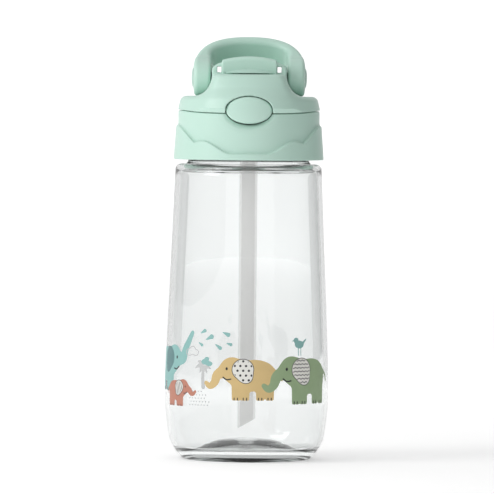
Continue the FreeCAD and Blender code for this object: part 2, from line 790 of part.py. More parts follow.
def make_cover():
    """The flip cover, one moulding: a shallow dome, the block, two ears, a bridge, bosses and a knuckle."""
    body = piece("flip_cover")
    dome = [
        (ZERO, SEAM),
        (COVER_RADIUS, SEAM),
        (COVER_WAIST_RADIUS, SEAM + S.cover_waist - 0.8, (S.cover_edge_curve, 1)),
        (COVER_WAIST_RADIUS - S.cover_edge_curve, COVER_TOP),
        (ZERO, COVER_TOP),
    ]
    turned(body, outline(sketch_on(body, "XZ"), dome))
    foot = COVER_TOP - S.cover_wall
    block_front = COVER_WAIST_RADIUS - S.block_inset
    sink = (S.block_low_half_width - S.block_top_half_width) * S.cover_wall / S.block_height
    lofted(body, [
        rounded_block(body, foot, S.block_low_half_width + sink, block_front, S.block_back_low),
        rounded_block(body, BLOCK_TOP, S.block_top_half_width, block_front - S.block_front_lean,
                      S.block_back_top),
    ])
    add_ears(body)
    for side in (1, -1):
        boss = sketch_on(body, "YZ", (ZERO, ZERO, S.cavity_half_width * side))
        ring_of(boss, [S.boss_radius], (S.pivot_back, PIVOT_HEIGHT))
        pushed(body, boss, BOSS_REACH - S.cavity_half_width, reverse=side < 0)
        # the handle's hub turns in a round recess in the block's side
        recess = sketch_on(body, "YZ", (ZERO, ZERO, BOSS_REACH * side))
        ring_of(recess, [S.hub_radius + S.hub_gap], (S.pivot_back, PIVOT_HEIGHT))
        pushed(body, recess, S.block_low_half_width, "Pocket", reverse=side > 0)
    hollow_cover(body)
    add_cover_knuckle(body)
    add_catch(body)
    cut_cover_places(body)


def add_ears(body):
    """Two ears behind the block's front, joined by an arched bridge, with a window on each side."""
    rise = S.bridge_rise - S.bridge_end_rise
    half = S.bridge_half_width
    crown = (half * half + rise * rise) / (rise * 2)
    low = BLOCK_TOP - 3.0
    ear_top = BLOCK_TOP + S.ear_rise
    end_top = BLOCK_TOP + S.bridge_end_rise
    front = sketch_on(body, "XZ", (ZERO, ZERO, S.ear_front - S.ear_depth))
    outline(front, [
        (-S.ear_half_width, low),
        (S.ear_half_width, low),
        (S.ear_half_width, ear_top - 0.8),
        (S.ear_half_width - 0.8, ear_top),
        (half + 0.5, ear_top),
        (half, end_top, (crown, 1)),
        (-half, end_top),
        (-half - 0.5, ear_top),
        (-S.ear_half_width + 0.8, ear_top),
        (-S.ear_half_width, ear_top - 0.8),
    ])
    pushed(body, front, S.ear_depth)
    base = BLOCK_TOP + 0.6
    for side in (1, -1):
        window = sketch_on(body, "XZ")
        near = (half + 0.3) * side
        far = (half + 0.3 + S.window_width) * side
        rectangle(window, near, far, base, base + S.window_height)
        pushed(body, window, None, "Pocket", both=True)
    mouth = sketch_on(body, "XZ", (ZERO, ZERO, S.ear_front - S.bridge_mouth_depth))
    wide = S.bridge_mouth_half_width
    arch = (wide * wide + S.bridge_mouth * S.bridge_mouth) / (S.bridge_mouth * 2)
    outline(mouth, [
        (-wide, BLOCK_TOP),
        (wide, BLOCK_TOP, (arch, 1)),
    ])
    pushed(body, mouth, S.bridge_mouth_depth + 1.0, "Pocket", reverse=True)


def hollow_cover(body):
    """The space under the dome, and the tall cavity in the block that holds the mouthpiece."""
    wall = S.cover_wall
    inside = [
        (ZERO, SEAM - 1.0),
        (COVER_RADIUS - wall, SEAM - 1.0),
        (COVER_WAIST_RADIUS - wall, SEAM + S.cover_waist - 1.4),
        (COVER_WAIST_RADIUS - wall - 0.8, COVER_TOP - wall),
        (ZERO, COVER_TOP - wall),
    ]
    turned(body, outline(sketch_on(body, "XZ"), inside), "Groove")
    cavity = rectangle(sketch_on(body, "XY", (ZERO, ZERO, COVER_TOP - wall - 1.0)),
                       -S.cavity_half_width, S.cavity_half_width,
                       -S.cavity_half_depth, S.cavity_half_depth)
    pushed(body, cavity, CAVITY_TOP - COVER_TOP + wall + 1.0, "Pocket", reverse=True)


def add_cover_knuckle(body):
    """The notch around the lid's knuckles, and the middle knuckle on its arm."""
    gap = S.notch_gap
    reach = S.knuckle_radius + gap
    notch = sketch_on(body, "YZ")
    rectangle(notch, HINGE_DISTANCE - reach - 0.3, HINGE_DISTANCE + 4.0, SEAM - 1.0,
              HINGE_HEIGHT + reach)
    pushed(body, notch, (S.knuckle_outer + gap) * 2, "Pocket", both=True)
    arm = sketch_on(body, "YZ")
    outline(arm, [
        (HINGE_DISTANCE - reach - 2.4, HINGE_HEIGHT - 0.4),
        (HINGE_DISTANCE, HINGE_HEIGHT - 0.4),
        (HINGE_DISTANCE, HINGE_HEIGHT + S.knuckle_radius),
        (HINGE_DISTANCE - reach - 2.4, HINGE_HEIGHT + S.knuckle_radius),
    ])
    pushed(body, arm, S.knuckle_middle * 2, both=True)
    barrel = sketch_on(body, "YZ")
    ring_of(barrel, [S.knuckle_radius], (HINGE_DISTANCE, HINGE_HEIGHT))
    pushed(body, barrel, S.knuckle_middle * 2, both=True)
    bore = sketch_on(body, "YZ")
    ring_of(bore, [S.pin_radius + S.pin_play], (HINGE_DISTANCE, HINGE_HEIGHT))
    pushed(body, bore, S.knuckle_middle * 2 + 2.0, "Pocket", both=True)


def add_catch(body):
    """The tongue under the cover's front, with the hook that the latch holds."""
    front = CATCH_FRONT
    hook = sketch_on(body, "YZ")
    outline(hook, [
        (front, HOOK_TOP - 1.6),
        (front + S.catch_wall + 0.4, HOOK_TOP - 1.6),
        (HOOK_BACK, HOOK_TOP - 0.9),
        (HOOK_BACK, HOOK_TOP),
        (front + S.catch_wall, HOOK_TOP),
        (front + S.catch_wall, COVER_TOP - S.cover_wall + 0.5),
        (front, COVER_TOP - S.cover_wall + 0.5),
    ])
    pushed(body, hook, S.catch_half_width * 2, both=True)


def cut_cover_places(body):
    """The button's upper half and the pivot pins' bores."""
    place = sketch_on(body, "XZ", (ZERO, BUTTON_MIDDLE, ZERO - CATCH_FRONT + 0.01))
    oval(place, S.button_half_width + S.button_gap, S.button_half_height + S.button_gap,
         S.button_end_curve + S.button_gap)
    pushed(body, place, BAND_RADIUS, "Pocket", reverse=True)
    pin_end = HUB_INSIDE - S.pivot_reach
    for side in (1, -1):
        depth = BOSS_REACH - pin_end + 0.3
        bore = sketch_on(body, "YZ", (ZERO, ZERO, (pin_end - 0.3) * side))
        ring_of(bore, [S.pivot_radius], (S.pivot_back, PIVOT_HEIGHT))
        pushed(body, bore, depth, "Pocket", reverse=side > 0)


def make_seal_pad():
    """The soft pad in the cavity's roof that closes the mouthpiece."""
    body = piece("cover_seal_pad")
    pad = S.mouth_tip_radius + 1.2
    tube_low = DECK_TOP + S.mouth_height + S.seam_gap
    turned(body, rectangle(sketch_on(body, "XZ"), ZERO, pad, tube_low, CAVITY_TOP))


# ---------------------------------------------------------------- hinge and handle

def make_hinge_pin():
    """The steel pin through the lid's and the cover's knuckles."""
    body = piece("hinge_pin")
    section = ring_of(sketch_on(body, "YZ"), [S.pin_radius], (HINGE_DISTANCE, HINGE_HEIGHT))
    pushed(body, section, S.knuckle_outer * 2 - 0.4, both=True)


def make_hinge_spring(side):
    """A torsion spring around the pin, between two knuckles, with a straight leg at each end."""
    body = piece("hinge_spring_right" if side > 0 else "hinge_spring_left")
    wire = S.hinge_spring_wire / 2
    room = S.knuckle_inner - S.knuckle_middle - 0.3
    start = (S.knuckle_middle + wire + 0.15) if side > 0 else ZERO - S.knuckle_inner + wire + 0.15
    length = room - S.hinge_spring_wire
    top = S.hinge_spring_radius
    section = sketch_on(body, "XZ", (start, HINGE_HEIGHT, -HINGE_DISTANCE))
    ring_of(section, [wire], (ZERO, top))
    coiled(body, section, length / S.hinge_spring_turns, S.hinge_spring_turns, "H_Axis")
    # each leg carries on in the direction in which the wire leaves its end of the coil
    for place, backwards in ((start, True), (start + length, False)):
        leg = sketch_on(body, "XZ", (place, HINGE_HEIGHT, -HINGE_DISTANCE))
        ring_of(leg, [wire], (ZERO, top))
        pushed(body, leg, S.hinge_spring_leg, reverse=backwards)


def make_handle():
    """The carry handle: a wide strap bent into a loop, with a round hub at the end of each arm."""
    body = piece("carry_handle")
    wide, wall, corner = S.handle_half_width, S.handle_wall, S.handle_corner
    top, inner_top = S.handle_reach, S.handle_reach - S.handle_wall
    inner_corner = corner - wall
    # the loop is drawn upright about the pivot's axis and pushed both ways by half the strap's width
    loop = sketch_on(body, "XZ", (ZERO, ZERO, ZERO))
    outline(loop, [
        (wide - wall, ZERO),
        (wide, ZERO),
        (wide, top - corner, (corner, 1)),
        (wide - corner, top),
        (corner - wide, top, (corner, 1)),
        (-wide, top - corner),
        (-wide, ZERO),
        (wall - wide, ZERO),
        (wall - wide, inner_top - inner_corner, (inner_corner, -1)),
        (inner_corner + wall - wide, inner_top),
        (wide - wall - inner_corner, inner_top, (inner_corner, -1)),
        (wide - wall, inner_top - inner_corner),
    ])
    pushed(body, loop, S.strap_width, both=True)
    for side in (1, -1):
        start = HUB_INSIDE if side > 0 else -HUB_INSIDE
        hub = sketch_on(body, "YZ", (ZERO, ZERO, start))
        ring_of(hub, [S.hub_radius])
        pushed(body, hub, S.hub_wall + S.hub_proud, reverse=side < 0)
    bore = ring_of(sketch_on(body, "YZ"), [S.pivot_radius + S.pivot_play])
    pushed(body, bore, None, "Pocket", both=True)
    body.Placement = FreeCAD.Placement(
        FreeCAD.Vector(0, S.pivot_back.value, PIVOT_HEIGHT.value),
        FreeCAD.Rotation(FreeCAD.Vector(1, 0, 0), -S.handle_lean.value),
    )
    bind(body, "Placement.Base.y", S.pivot_back)
    bind(body, "Placement.Base.z", PIVOT_HEIGHT)
    bind(body, "Placement.Rotation.Angle", Size(-S.handle_lean.value, "(0 - Sizes.handle_lean) * 1 deg"))


def make_pivot(side):
    """A pivot with a domed cap: it passes through the handle's arm and presses into the cover's boss."""
    body = piece("handle_pivot_right" if side > 0 else "handle_pivot_left")
    face = S.handle_half_width + S.hub_proud + S.cap_gap
    inner_end = HUB_INSIDE - S.pivot_reach
    section = [
        (inner_end * side, ZERO),
        (inner_end * side, S.pivot_radius),
        (face * side, S.pivot_radius),
        (face * side, S.cap_radius),
        ((face + S.cap_dome / 2) * side, S.cap_radius),
        ((face + S.cap_dome) * side, S.cap_radius * 0.55),
        ((face + S.cap_dome) * side, ZERO),
    ]
    drawing = sketch_on(body, "XZ", (ZERO, PIVOT_HEIGHT, -S.pivot_back))
    turned(body, outline(drawing, section), axis="H_Axis")


# ---------------------------------------------------------------- build, check and write

def check(bodies):
    """Stop if a feature failed or a sub-part is empty or invalid."""
    faults = [f"{item.Name}: {item.State}" for item in DOC.Objects
              if {"Invalid", "Error"} & set(item.State)]
    for body in bodies:
        shape = body.Shape
        if shape.isNull() or not shape.isValid() or len(shape.Solids) != 1:
            faults.append(f"{body.Label}: not one valid solid")
    if faults:
        raise RuntimeError("; ".join(faults))


def main():
    make_bottle()
    make_insert()
    make_lid()
    make_gasket()
    make_straw()
    make_mouthpiece()
    make_ring()
    make_valve()
    make_button()
    make_latch()
    make_guide()
    make_button_spring()
    make_cover()
    make_seal_pad()
    make_hinge_pin()
    make_hinge_spring(1)
    make_hinge_spring(-1)
    make_handle()
    make_pivot(1)
    make_pivot(-1)
    DOC.recompute()
    check(PIECES)
    os.makedirs("parts", exist_ok=True)
    for body in PIECES:
        body.Shape.exportStep(f"parts/{body.Label}.step")
        box = body.Shape.BoundBox
        print(f"{body.Label:22s} {body.Shape.Volume / 1000:8.2f} cm3  "
              f"x {box.XMin:6.1f} {box.XMax:6.1f}  y {box.YMin:6.1f} {box.YMax:6.1f}  "
              f"z {box.ZMin:6.1f} {box.ZMax:6.1f}")


main()
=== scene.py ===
"""Looks of the kids' water bottle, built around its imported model.

Lengths inside the mould classes are millimetres, because that is what their sizes are drawn in. They
become metres when a mesh is made. Heights and axes come from the frame's own boxes and joints.
"""
import json
import logging
import math
from dataclasses import dataclass, field
from enum import Enum
from typing import Callable, Sequence

import bmesh
import bpy
import numpy as np
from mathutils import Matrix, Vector


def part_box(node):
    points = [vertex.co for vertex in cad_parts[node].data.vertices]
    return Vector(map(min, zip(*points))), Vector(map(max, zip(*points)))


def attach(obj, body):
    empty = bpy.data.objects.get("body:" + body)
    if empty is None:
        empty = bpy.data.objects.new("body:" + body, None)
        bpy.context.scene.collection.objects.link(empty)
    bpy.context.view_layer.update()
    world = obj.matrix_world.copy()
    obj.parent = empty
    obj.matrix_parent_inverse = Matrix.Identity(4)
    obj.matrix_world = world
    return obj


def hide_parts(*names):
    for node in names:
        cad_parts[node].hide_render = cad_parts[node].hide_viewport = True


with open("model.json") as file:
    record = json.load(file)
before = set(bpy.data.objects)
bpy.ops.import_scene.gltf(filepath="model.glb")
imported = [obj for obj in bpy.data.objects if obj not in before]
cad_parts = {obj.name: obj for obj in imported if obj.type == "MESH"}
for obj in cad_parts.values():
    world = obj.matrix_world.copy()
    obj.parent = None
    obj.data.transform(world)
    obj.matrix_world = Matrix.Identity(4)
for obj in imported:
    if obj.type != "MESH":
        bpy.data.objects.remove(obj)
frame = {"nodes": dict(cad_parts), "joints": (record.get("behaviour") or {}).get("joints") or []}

LOG = logging.getLogger("kids_water_bottle")
METRE = 0.001
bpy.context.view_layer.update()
THROUGH = (100.0, 200.0)  # the heights between which a cut goes right through the lid
ASIDE = (-20.0, 20.0)     # the same for a cut along the hinge
Array = np.ndarray
Field = Callable[[Array], Array]
Colour = tuple[float, float, float]
Line = list[tuple[float, float]]
Shell = tuple[Array, list[tuple[int, ...]]]
Material = bpy.types.Material
Piece = bpy.types.Object
Socket = bpy.types.NodeSocket
Tree = bpy.types.NodeTree


# ---------------------------------------------------------------------------------- places in the frame

@dataclass(frozen=True)
class Places:
    """Heights, radii and axes that the pieces share, in millimetres, read from the frame."""

    neck_top: float
    body_radius: float
    lid_foot: float
    lid_radius: float
    lid_half_depth: float
    roof: float
    deck: float
    hinge_y: float
    hinge_z: float
    pivot_y: float
    pivot_z: float
    button_z: float
    button_front: float
    cover_top: float
    handle_half_width: float
    straw_radius: float

    @property
    def band_radius(self) -> float:
        """Outer radius of the lid's plain band, which the skirt's edge stands 2 mm out of."""
        return self.lid_radius - 2.0

    @property
    def seam(self) -> float:
        """Height of the cover's lower edge."""
        return self.button_z + 0.3

    @property
    def rim(self) -> float:
        """Height of the lid's upper edge, just under the cover."""
        return self.seam - 0.3

    @property
    def skirt_top(self) -> float:
        """Height of the raised skirt's upper edge at the sides."""
        return self.lid_foot + 15.3

    @property
    def arm_half(self) -> float:
        """Half the width of the handle's strap, without its raised hubs."""
        return self.handle_half_width - 1.0

    def dip(self, y: Array) -> Array:
        """How far the seam sags towards the front."""
        return 1.3 * ramp(-y, 4.0, 33.0)

    @property
    def shoulder(self) -> float:
        """Height of the bottle's shoulder."""
        return self.lid_foot - 1.8


def read_places() -> Places:
    """Read the shared places from the frame's boxes and joints.

    Returns:
        The places, in millimetres.
    """
    def low(node: str) -> Vector:
        """The low corner of a node's box."""
        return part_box(node)[0] / METRE

    def high(node: str) -> Vector:
        """The high corner of a node's box."""
        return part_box(node)[1] / METRE

    joints = {joint["name"]: joint for joint in frame["joints"]}
    hinge = joints["cover_flip"]["pos_m"]
    pivot = joints["handle_swing"]["pos_m"]
    button_middle = (low("push_button").z + high("push_button").z) / 2
    return Places(
        neck_top=high("bottle_body").z,
        body_radius=high("bottle_body").x,
        lid_foot=low("lid_shell").z,
        lid_radius=high("lid_shell").x,
        lid_half_depth=high("lid_shell").y,
        roof=high("inner_cap").z,
        deck=low("mouthpiece_ring").z,
        hinge_y=hinge[1] / METRE,
        hinge_z=hinge[2] / METRE,
        pivot_y=pivot[1] / METRE,
        pivot_z=pivot[2] / METRE,
        button_z=button_middle,
        button_front=low("push_button").y,
        cover_top=high("flip_cover").z,
        handle_half_width=high("carry_handle").x,
        straw_radius=high("straw").x,
    )


# ---------------------------------------------------------------------------------- distance fields

def meet(first: Array, second: Array, curve: float | Array = 0.0) -> Array:
    """Intersection of two fields.

    Args:
        first: Distances to the first solid, negative inside.
        second: Distances to the second solid.
        curve: Radius of the rounded edge where they meet, or 0 for a sharp one.

    Returns:
        Distances to the solid they share.
    """
    if np.ndim(curve) == 0 and curve <= 0:
        return np.maximum(first, second)
    outside = np.hypot(np.maximum(first + curve, 0), np.maximum(second + curve, 0))
    return outside + np.minimum(np.maximum(first, second) + curve, 0) - curve


def join(first: Array, second: Array, curve: float = 0.0) -> Array:
    """Union of two fields, with a fillet of that radius where they meet."""
    return -meet(-first, -second, curve)


def cut(first: Array, second: Array, curve: float = 0.0) -> Array:
    """The first field with the second taken away, its edges rounded to that radius."""
    return meet(first, -second, curve)


def slab(values: Array, low: float, high: float) -> Array:
    """Distance to the space between two parallel planes."""
    return np.maximum(low - values, values - high)


def block(points: Array, low: Sequence[float], high: Sequence[float], curve: float) -> Array:
    """Distance to a box with rounded edges.

    Args:
        points: Places to measure at, one row each.
        low: The box's lowest corner.
        high: The box's highest corner.
        curve: Radius of its rounded edges.

    Returns:
        Distances, negative inside.
    """
    middle = (np.array(low) + np.array(high)) / 2
    half = (np.array(high) - np.array(low)) / 2 - curve
    away = np.abs(points - middle) - half
    outside = np.linalg.norm(np.maximum(away, 0), axis=1)
    return outside + np.minimum(away.max(axis=1), 0) - curve


def rod(points: Array, axis: int, centre: Sequence[float], radius: float, low: float,
        high: float, curve: float = 0.0) -> Array:
    """Distance to a cylinder along one axis.

    Args:
        points: Places to measure at.
        axis: 0, 1 or 2, the cylinder's direction.
        centre: Its place across the other two axes, in their order.
        radius: Its radius.
        low: Where it starts along its axis.
        high: Where it ends.
        curve: Radius of its rounded end edges.

    Returns:
        Distances, negative inside.
    """
    across = [index for index in range(3) if index != axis]
    away = np.hypot(points[:, across[0]] - centre[0], points[:, across[1]] - centre[1]) - radius + curve
    along = slab(points[:, axis], low + curve, high - curve)
    outside = np.hypot(np.maximum(away, 0), np.maximum(along, 0))
    return outside + np.minimum(np.maximum(away, along), 0) - curve


def oval(across: Array, up: Array, half_width: float, half_height: float) -> Array:
    """Nearly the distance to an ellipse about the origin, exact on the ellipse itself.

    Args:
        across: Distances across.
        up: Distances up.
        half_width: The ellipse's half width.
        half_height: Its half height.

    Returns:
        Distances, negative inside.
    """
    scaled = np.hypot(across / half_width, up / half_height)
    slope = np.hypot(across / half_width**2, up / half_height**2)
    return scaled * (scaled - 1) / np.maximum(slope, 1e-6)


def ramp(values: Array, start: float, end: float) -> Array:
    """A smooth step from 0 at start to 1 at end."""
    share = np.clip((values - start) / (end - start), 0, 1)
    return share * share * (3 - 2 * share)


# ---------------------------------------------------------------------------------- meshes from fields

@dataclass(frozen=True)
class Mould:
    """Turns a distance field into a closed mesh whose vertices lie on the surface."""

    shape: Field
    low: tuple[float, float, float]
    high: tuple[float, float, float]
    step: float = 0.5
    probe: float = 0.01

    def values(self) -> tuple[Array, list[Array]]:
        """Sample the field on a grid, one sheet at a time to keep memory small.

        Returns:
            The samples, and the grid's positions along each axis.
        """
        axes = [np.arange(a, b + self.step, self.step) for a, b in zip(self.low, self.high)]
        second, third = np.meshgrid(axes[1], axes[2], indexing="ij")
        flat = np.stack([np.zeros(second.size), second.ravel(), third.ravel()], axis=1)
        sheets = []
        for place in axes[0]:
            flat[:, 0] = place
            sheets.append(self.shape(flat).reshape(second.shape))
        return np.stack(sheets), axes

    def slope(self, points: Array) -> Array:
        """The field's gradient at some points.

        Args:
            points: Places, one in each row.

        Returns:
            One gradient in each row.
        """
        made = np.empty_like(points)
        for axis in range(3):
            shift = np.zeros(3)
            shift[axis] = self.probe
            made[:, axis] = (self.shape(points + shift) - self.shape(points - shift)) / (2 * self.probe)
        return made

    def settle(self, points: Array, rounds: int = 5) -> Array:
        """Move points onto the surface along the field's gradient.

        Args:
            points: Places near the surface.
            rounds: How many times each is moved.

        Returns:
            Places on the surface.
        """
        start = points.copy()
        for _ in range(rounds):
            slope = self.slope(points)
            size = np.maximum((slope**2).sum(axis=1), 0.05)
            move = slope * (self.shape(points) / size)[:, None]
            length = np.maximum(np.linalg.norm(move, axis=1), 1e-9)
            points = points - move * np.minimum(1, 0.5 * self.step / length)[:, None]
            drift = points - start
            far = np.maximum(np.linalg.norm(drift, axis=1) / (1.2 * self.step), 1)
            points = start + drift / far[:, None]
        return points

    def cast(self, name: str) -> Piece:
        """Make the mesh.

        Args:
            name: The object's name.

        Returns:
            A new object, in metres, smooth-shaded with the field's own normals.
        """
        values, axes = self.values()
        cells = tuple(size - 1 for size in values.shape)
        total = np.zeros(cells + (3,))
        count = np.zeros(cells)
        crossings = []
        for axis in range(3):
            crossings.append(self._gather(values, axes, axis, total, count))
        active = count > 0
        index = np.full(cells, -1, dtype=np.int64)
        index[active] = np.arange(int(active.sum()))
        points = total[active] / count[active][:, None]
        points = self.settle(points)
        faces = np.concatenate([self._quads(index, crossing, axis)
                                for axis, crossing in enumerate(crossings)])
        normals = self.slope(points)
        normals /= np.maximum(np.linalg.norm(normals, axis=1), 1e-9)[:, None]
        return mesh_object(name, points, faces.tolist(), normals)

    def _gather(self, values: Array, axes: list[Array], axis: int, total: Array,
                count: Array) -> Array:
        """Add where the surface crosses the grid's edges along one axis to the cells around them.

        Args:
            values: The field's values on the grid.
            axes: The grid's places along each axis.
            axis: The number of the axis.
            total: Sums of crossings for each cell, added to.
            count: How many crossings each cell has, added to.

        Returns:
            1 where an edge leaves the solid, -1 where it enters and 0 elsewhere.
        """
        start = np.take(values, range(values.shape[axis] - 1), axis=axis)
        end = np.take(values, range(1, values.shape[axis]), axis=axis)
        crossing = (start < 0).astype(np.int8) - (end < 0).astype(np.int8)
        where = np.nonzero(crossing)
        share = start[where] / (start[where] - end[where])
        place = np.stack([axes[i][where[i]] for i in range(3)], axis=1)
        place[:, axis] += share * self.step
        others = [i for i in range(3) if i != axis]
        for back_a in (0, 1):
            for back_b in (0, 1):
                cell = list(where)
                cell[others[0]] = cell[others[0]] - back_a
                cell[others[1]] = cell[others[1]] - back_b
                inside = np.ones(len(place), dtype=bool)
                for i in range(3):
                    inside &= (cell[i] >= 0) & (cell[i] < count.shape[i])
                chosen = tuple(part[inside] for part in cell)
                np.add.at(total, chosen, place[inside])
                np.add.at(count, chosen, 1)
        return crossing

    @staticmethod
    def _quads(index: Array, crossing: Array, axis: int) -> Array:
        """The faces that cross the grid's edges along one axis, turned to face outwards.

        Args:
            index: Each cell's point, or -1.
            crossing: Where the surface crosses.
            axis: The number of the axis.

        Returns:
            Four numbers of points for each face.
        """
        first, second = (axis + 1) % 3, (axis + 2) % 3
        where = np.nonzero(crossing)
        sign = crossing[where]
        corners = []
        for back_a, back_b in ((1, 1), (0, 1), (0, 0), (1, 0)):
            cell = list(where)
            cell[first] = cell[first] - back_a
            cell[second] = cell[second] - back_b
            corners.append(index[tuple(cell)])
        quads = np.stack(corners, axis=1)
        quads[sign < 0] = quads[sign < 0][:, ::-1]
        return quads


def mesh_object(name: str, points: Array, faces: Sequence[Sequence[int]],
                normals: Array | None = None) -> Piece:
    """Make an object from points in millimetres.

    Args:
        name: The object's name.
        points: Its vertices.
        faces: Its faces, as vertex numbers.
        normals: One normal for each vertex, or none for plain smooth shading.

    Returns:
        The new object, linked to the scene.
    """
    mesh = bpy.data.meshes.new(name)
    mesh.from_pydata((np.asarray(points) * METRE).tolist(), [], faces)
    mesh.validate()
    mesh.polygons.foreach_set("use_smooth", [True] * len(mesh.polygons))
    if normals is not None and len(mesh.vertices) == len(normals):
        mesh.normals_split_custom_set_from_vertices(normals.tolist())
    made = bpy.data.objects.new(name, mesh)
    bpy.context.scene.collection.objects.link(made)
    return made


def bend(start: tuple[float, float], end: tuple[float, float], radius: float, side: int,
         pieces: int) -> Line:
    """Points on an arc between two points, without its end.

    Args:
        start: Where it starts.
        end: Where it ends.
        radius: Its radius.
        side: 1 if its centre is on the left of the way to the end, -1 on the right.
        pieces: How many points to make.

    Returns:
        The points, the first of them the start.
    """
    first, last = Vector(start), Vector(end)
    along = last - first
    left = Vector((-along.y, along.x)).normalized()
    height = math.sqrt(max(radius**2 - along.length**2 / 4, 0))
    centre = (first + last) / 2 + left * (side * height)
    angle = math.atan2(first.y - centre.y, first.x - centre.x)
    turn = side * 2 * math.asin(min(along.length / 2 / radius, 1))
    made = []
    for step in range(pieces):
        here = angle + turn * step / pieces
        made.append((centre.x + radius * math.cos(here), centre.y + radius * math.sin(here)))
    return made


def turned(name: str, outline: Sequence[tuple[float, float]], around: int,
           shape: Callable[[Array, Array, Array], Array] | None = None
           ) -> Piece:
    """Turn a closed outline of (radius, height) round the upright axis.

    Args:
        name: The object's name.
        outline: Its points, counterclockwise with radius to the right and height up.
        around: How many columns the mesh has.
        shape: Gives each point's radius from its angle, radius and height, or none.

    Returns:
        The new object. Points on the axis are joined into one.
    """
    rows = np.array(outline)
    angles = np.arange(around) * 2 * math.pi / around
    angle, radius = np.meshgrid(angles, rows[:, 0], indexing="ij")
    height = np.broadcast_to(rows[:, 1], radius.shape)
    if shape:
        radius = shape(angle, radius, height)
    points = np.stack([radius * np.cos(angle), radius * np.sin(angle), height], axis=2).reshape(-1, 3)
    count = len(rows)
    faces = []
    for column in range(around):
        here, there = column * count, (column + 1) % around * count
        for row in range(count):
            after = (row + 1) % count
            if rows[row, 0] < 1e-6 and rows[after, 0] < 1e-6:
                continue
            faces.append((here + row, there + row, there + after, here + after))
    made = mesh_object(name, points, faces)
    tool = bmesh.new()
    tool.from_mesh(made.data)
    bmesh.ops.remove_doubles(tool, verts=tool.verts, dist=1e-7)
    bmesh.ops.dissolve_degenerate(tool, edges=tool.edges, dist=1e-8)
    bmesh.ops.recalc_face_normals(tool, faces=tool.faces)
    tool.to_mesh(made.data)
    tool.free()
    made.data.polygons.foreach_set("use_smooth", [True] * len(made.data.polygons))
    return made


# ---------------------------------------------------------------------------------- finishes

def principled(name: str) -> tuple[Material, Tree, bpy.types.Node]:
    """Make a node material with one Principled shader.

    Args:
        name: Its name.

    Returns:
        The material, its node tree and the shader.
    """
    material = bpy.data.materials.new(name)
    material.use_nodes = True
    tree = material.node_tree
    tree.nodes.clear()
    shader = tree.nodes.new("ShaderNodeBsdfPrincipled")
    output = tree.nodes.new("ShaderNodeOutputMaterial")
    tree.links.new(shader.outputs["BSDF"], output.inputs["Surface"])
    return material, tree, shader


def noise(tree: Tree, scale: float, detail: float = 2.0) -> Socket:
    """A noise pattern fixed to the piece's own coordinates.

    Args:
        tree: The material's nodes.
        scale: Features for each metre.
        detail: How much finer detail the pattern has.

    Returns:
        The socket that carries the pattern, from 0 to 1.
    """
    place = tree.nodes.new("ShaderNodeTexCoord")
    pattern = tree.nodes.new("ShaderNodeTexNoise")
    pattern.inputs["Scale"].default_value = scale
    pattern.inputs["Detail"].default_value = detail
    tree.links.new(place.outputs["Object"], pattern.inputs["Vector"])
    return pattern.outputs["Fac"]


def spread(tree: Tree, source: Socket, low: float,
           high: float) -> Socket:
    """Map a pattern's middle range onto low to high.

    Args:
        tree: The material's nodes.
        source: The pattern.
        low: What the pattern's low end becomes.
        high: What its high end becomes.

    Returns:
        The socket that carries the result.
    """
    mapped = tree.nodes.new("ShaderNodeMapRange")
    mapped.inputs["From Min"].default_value = 0.3
    mapped.inputs["From Max"].default_value = 0.7
    mapped.inputs["To Min"].default_value = low
    mapped.inputs["To Max"].default_value = high
    tree.links.new(source, mapped.inputs["Value"])
    return mapped.outputs["Result"]


def bumped(tree: Tree, shader: bpy.types.Node, source: Socket,
           height: float, strength: float) -> None:
    """Raise a pattern off the surface by height metres.

    Args:
        tree: The material's nodes.
        shader: The material's shader.
        source: The pattern.
        height: How high it is raised.
        strength: How strongly it shows.
    """
    bump = tree.nodes.new("ShaderNodeBump")
    bump.inputs["Distance"].default_value = height
    bump.inputs["Strength"].default_value = strength
    tree.links.new(source, bump.inputs["Height"])
    tree.links.new(bump.outputs["Normal"], shader.inputs["Normal"])


def shaded(tree: Tree, source: Socket, first: Colour,
           second: Colour) -> Socket:
    """A colour that runs from first to second with a pattern.

    Args:
        tree: The material's nodes.
        source: The pattern.
        first: One colour.
        second: The other.

    Returns:
        The socket that carries the colour.
    """
    mix = tree.nodes.new("ShaderNodeMix")
    mix.data_type = "RGBA"
    mix.inputs["A"].default_value = (*first, 1.0)
    mix.inputs["B"].default_value = (*second, 1.0)
    tree.links.new(source, mix.inputs["Factor"])
    return mix.outputs["Result"]


@dataclass(frozen=True)
class Plastic:
    """Opaque or slightly translucent moulded plastic with a faint grain."""

    name: str
    colour: Colour
    roughness: float = 0.32
    grain: float = 0.04
    glow: float = 0.0
    reach: float = 0.002
    drift: float = 0.03

    def make(self) -> Material:
        """Build the material.

        Returns:
            The material.
        """
        material, tree, shader = principled(self.name)
        pattern = noise(tree, 45.0)
        darker = tuple(value * (1 - self.drift) for value in self.colour)
        tint = shaded(tree, pattern, self.colour, darker)
        tree.links.new(tint, shader.inputs["Base Color"])
        fine = noise(tree, 900.0, 3.0)
        rough = spread(tree, fine, self.roughness - self.grain, self.roughness + self.grain)
        tree.links.new(rough, shader.inputs["Roughness"])
        bumped(tree, shader, noise(tree, 1600.0), 0.00002, 0.12)
        shader.inputs["IOR"].default_value = 1.48
        if self.glow > 0:
            shader.inputs["Subsurface Weight"].default_value = self.glow
            shader.inputs["Subsurface Radius"].default_value = (1.0, 1.0, 0.9)
            shader.inputs["Subsurface Scale"].default_value = self.reach
        return material


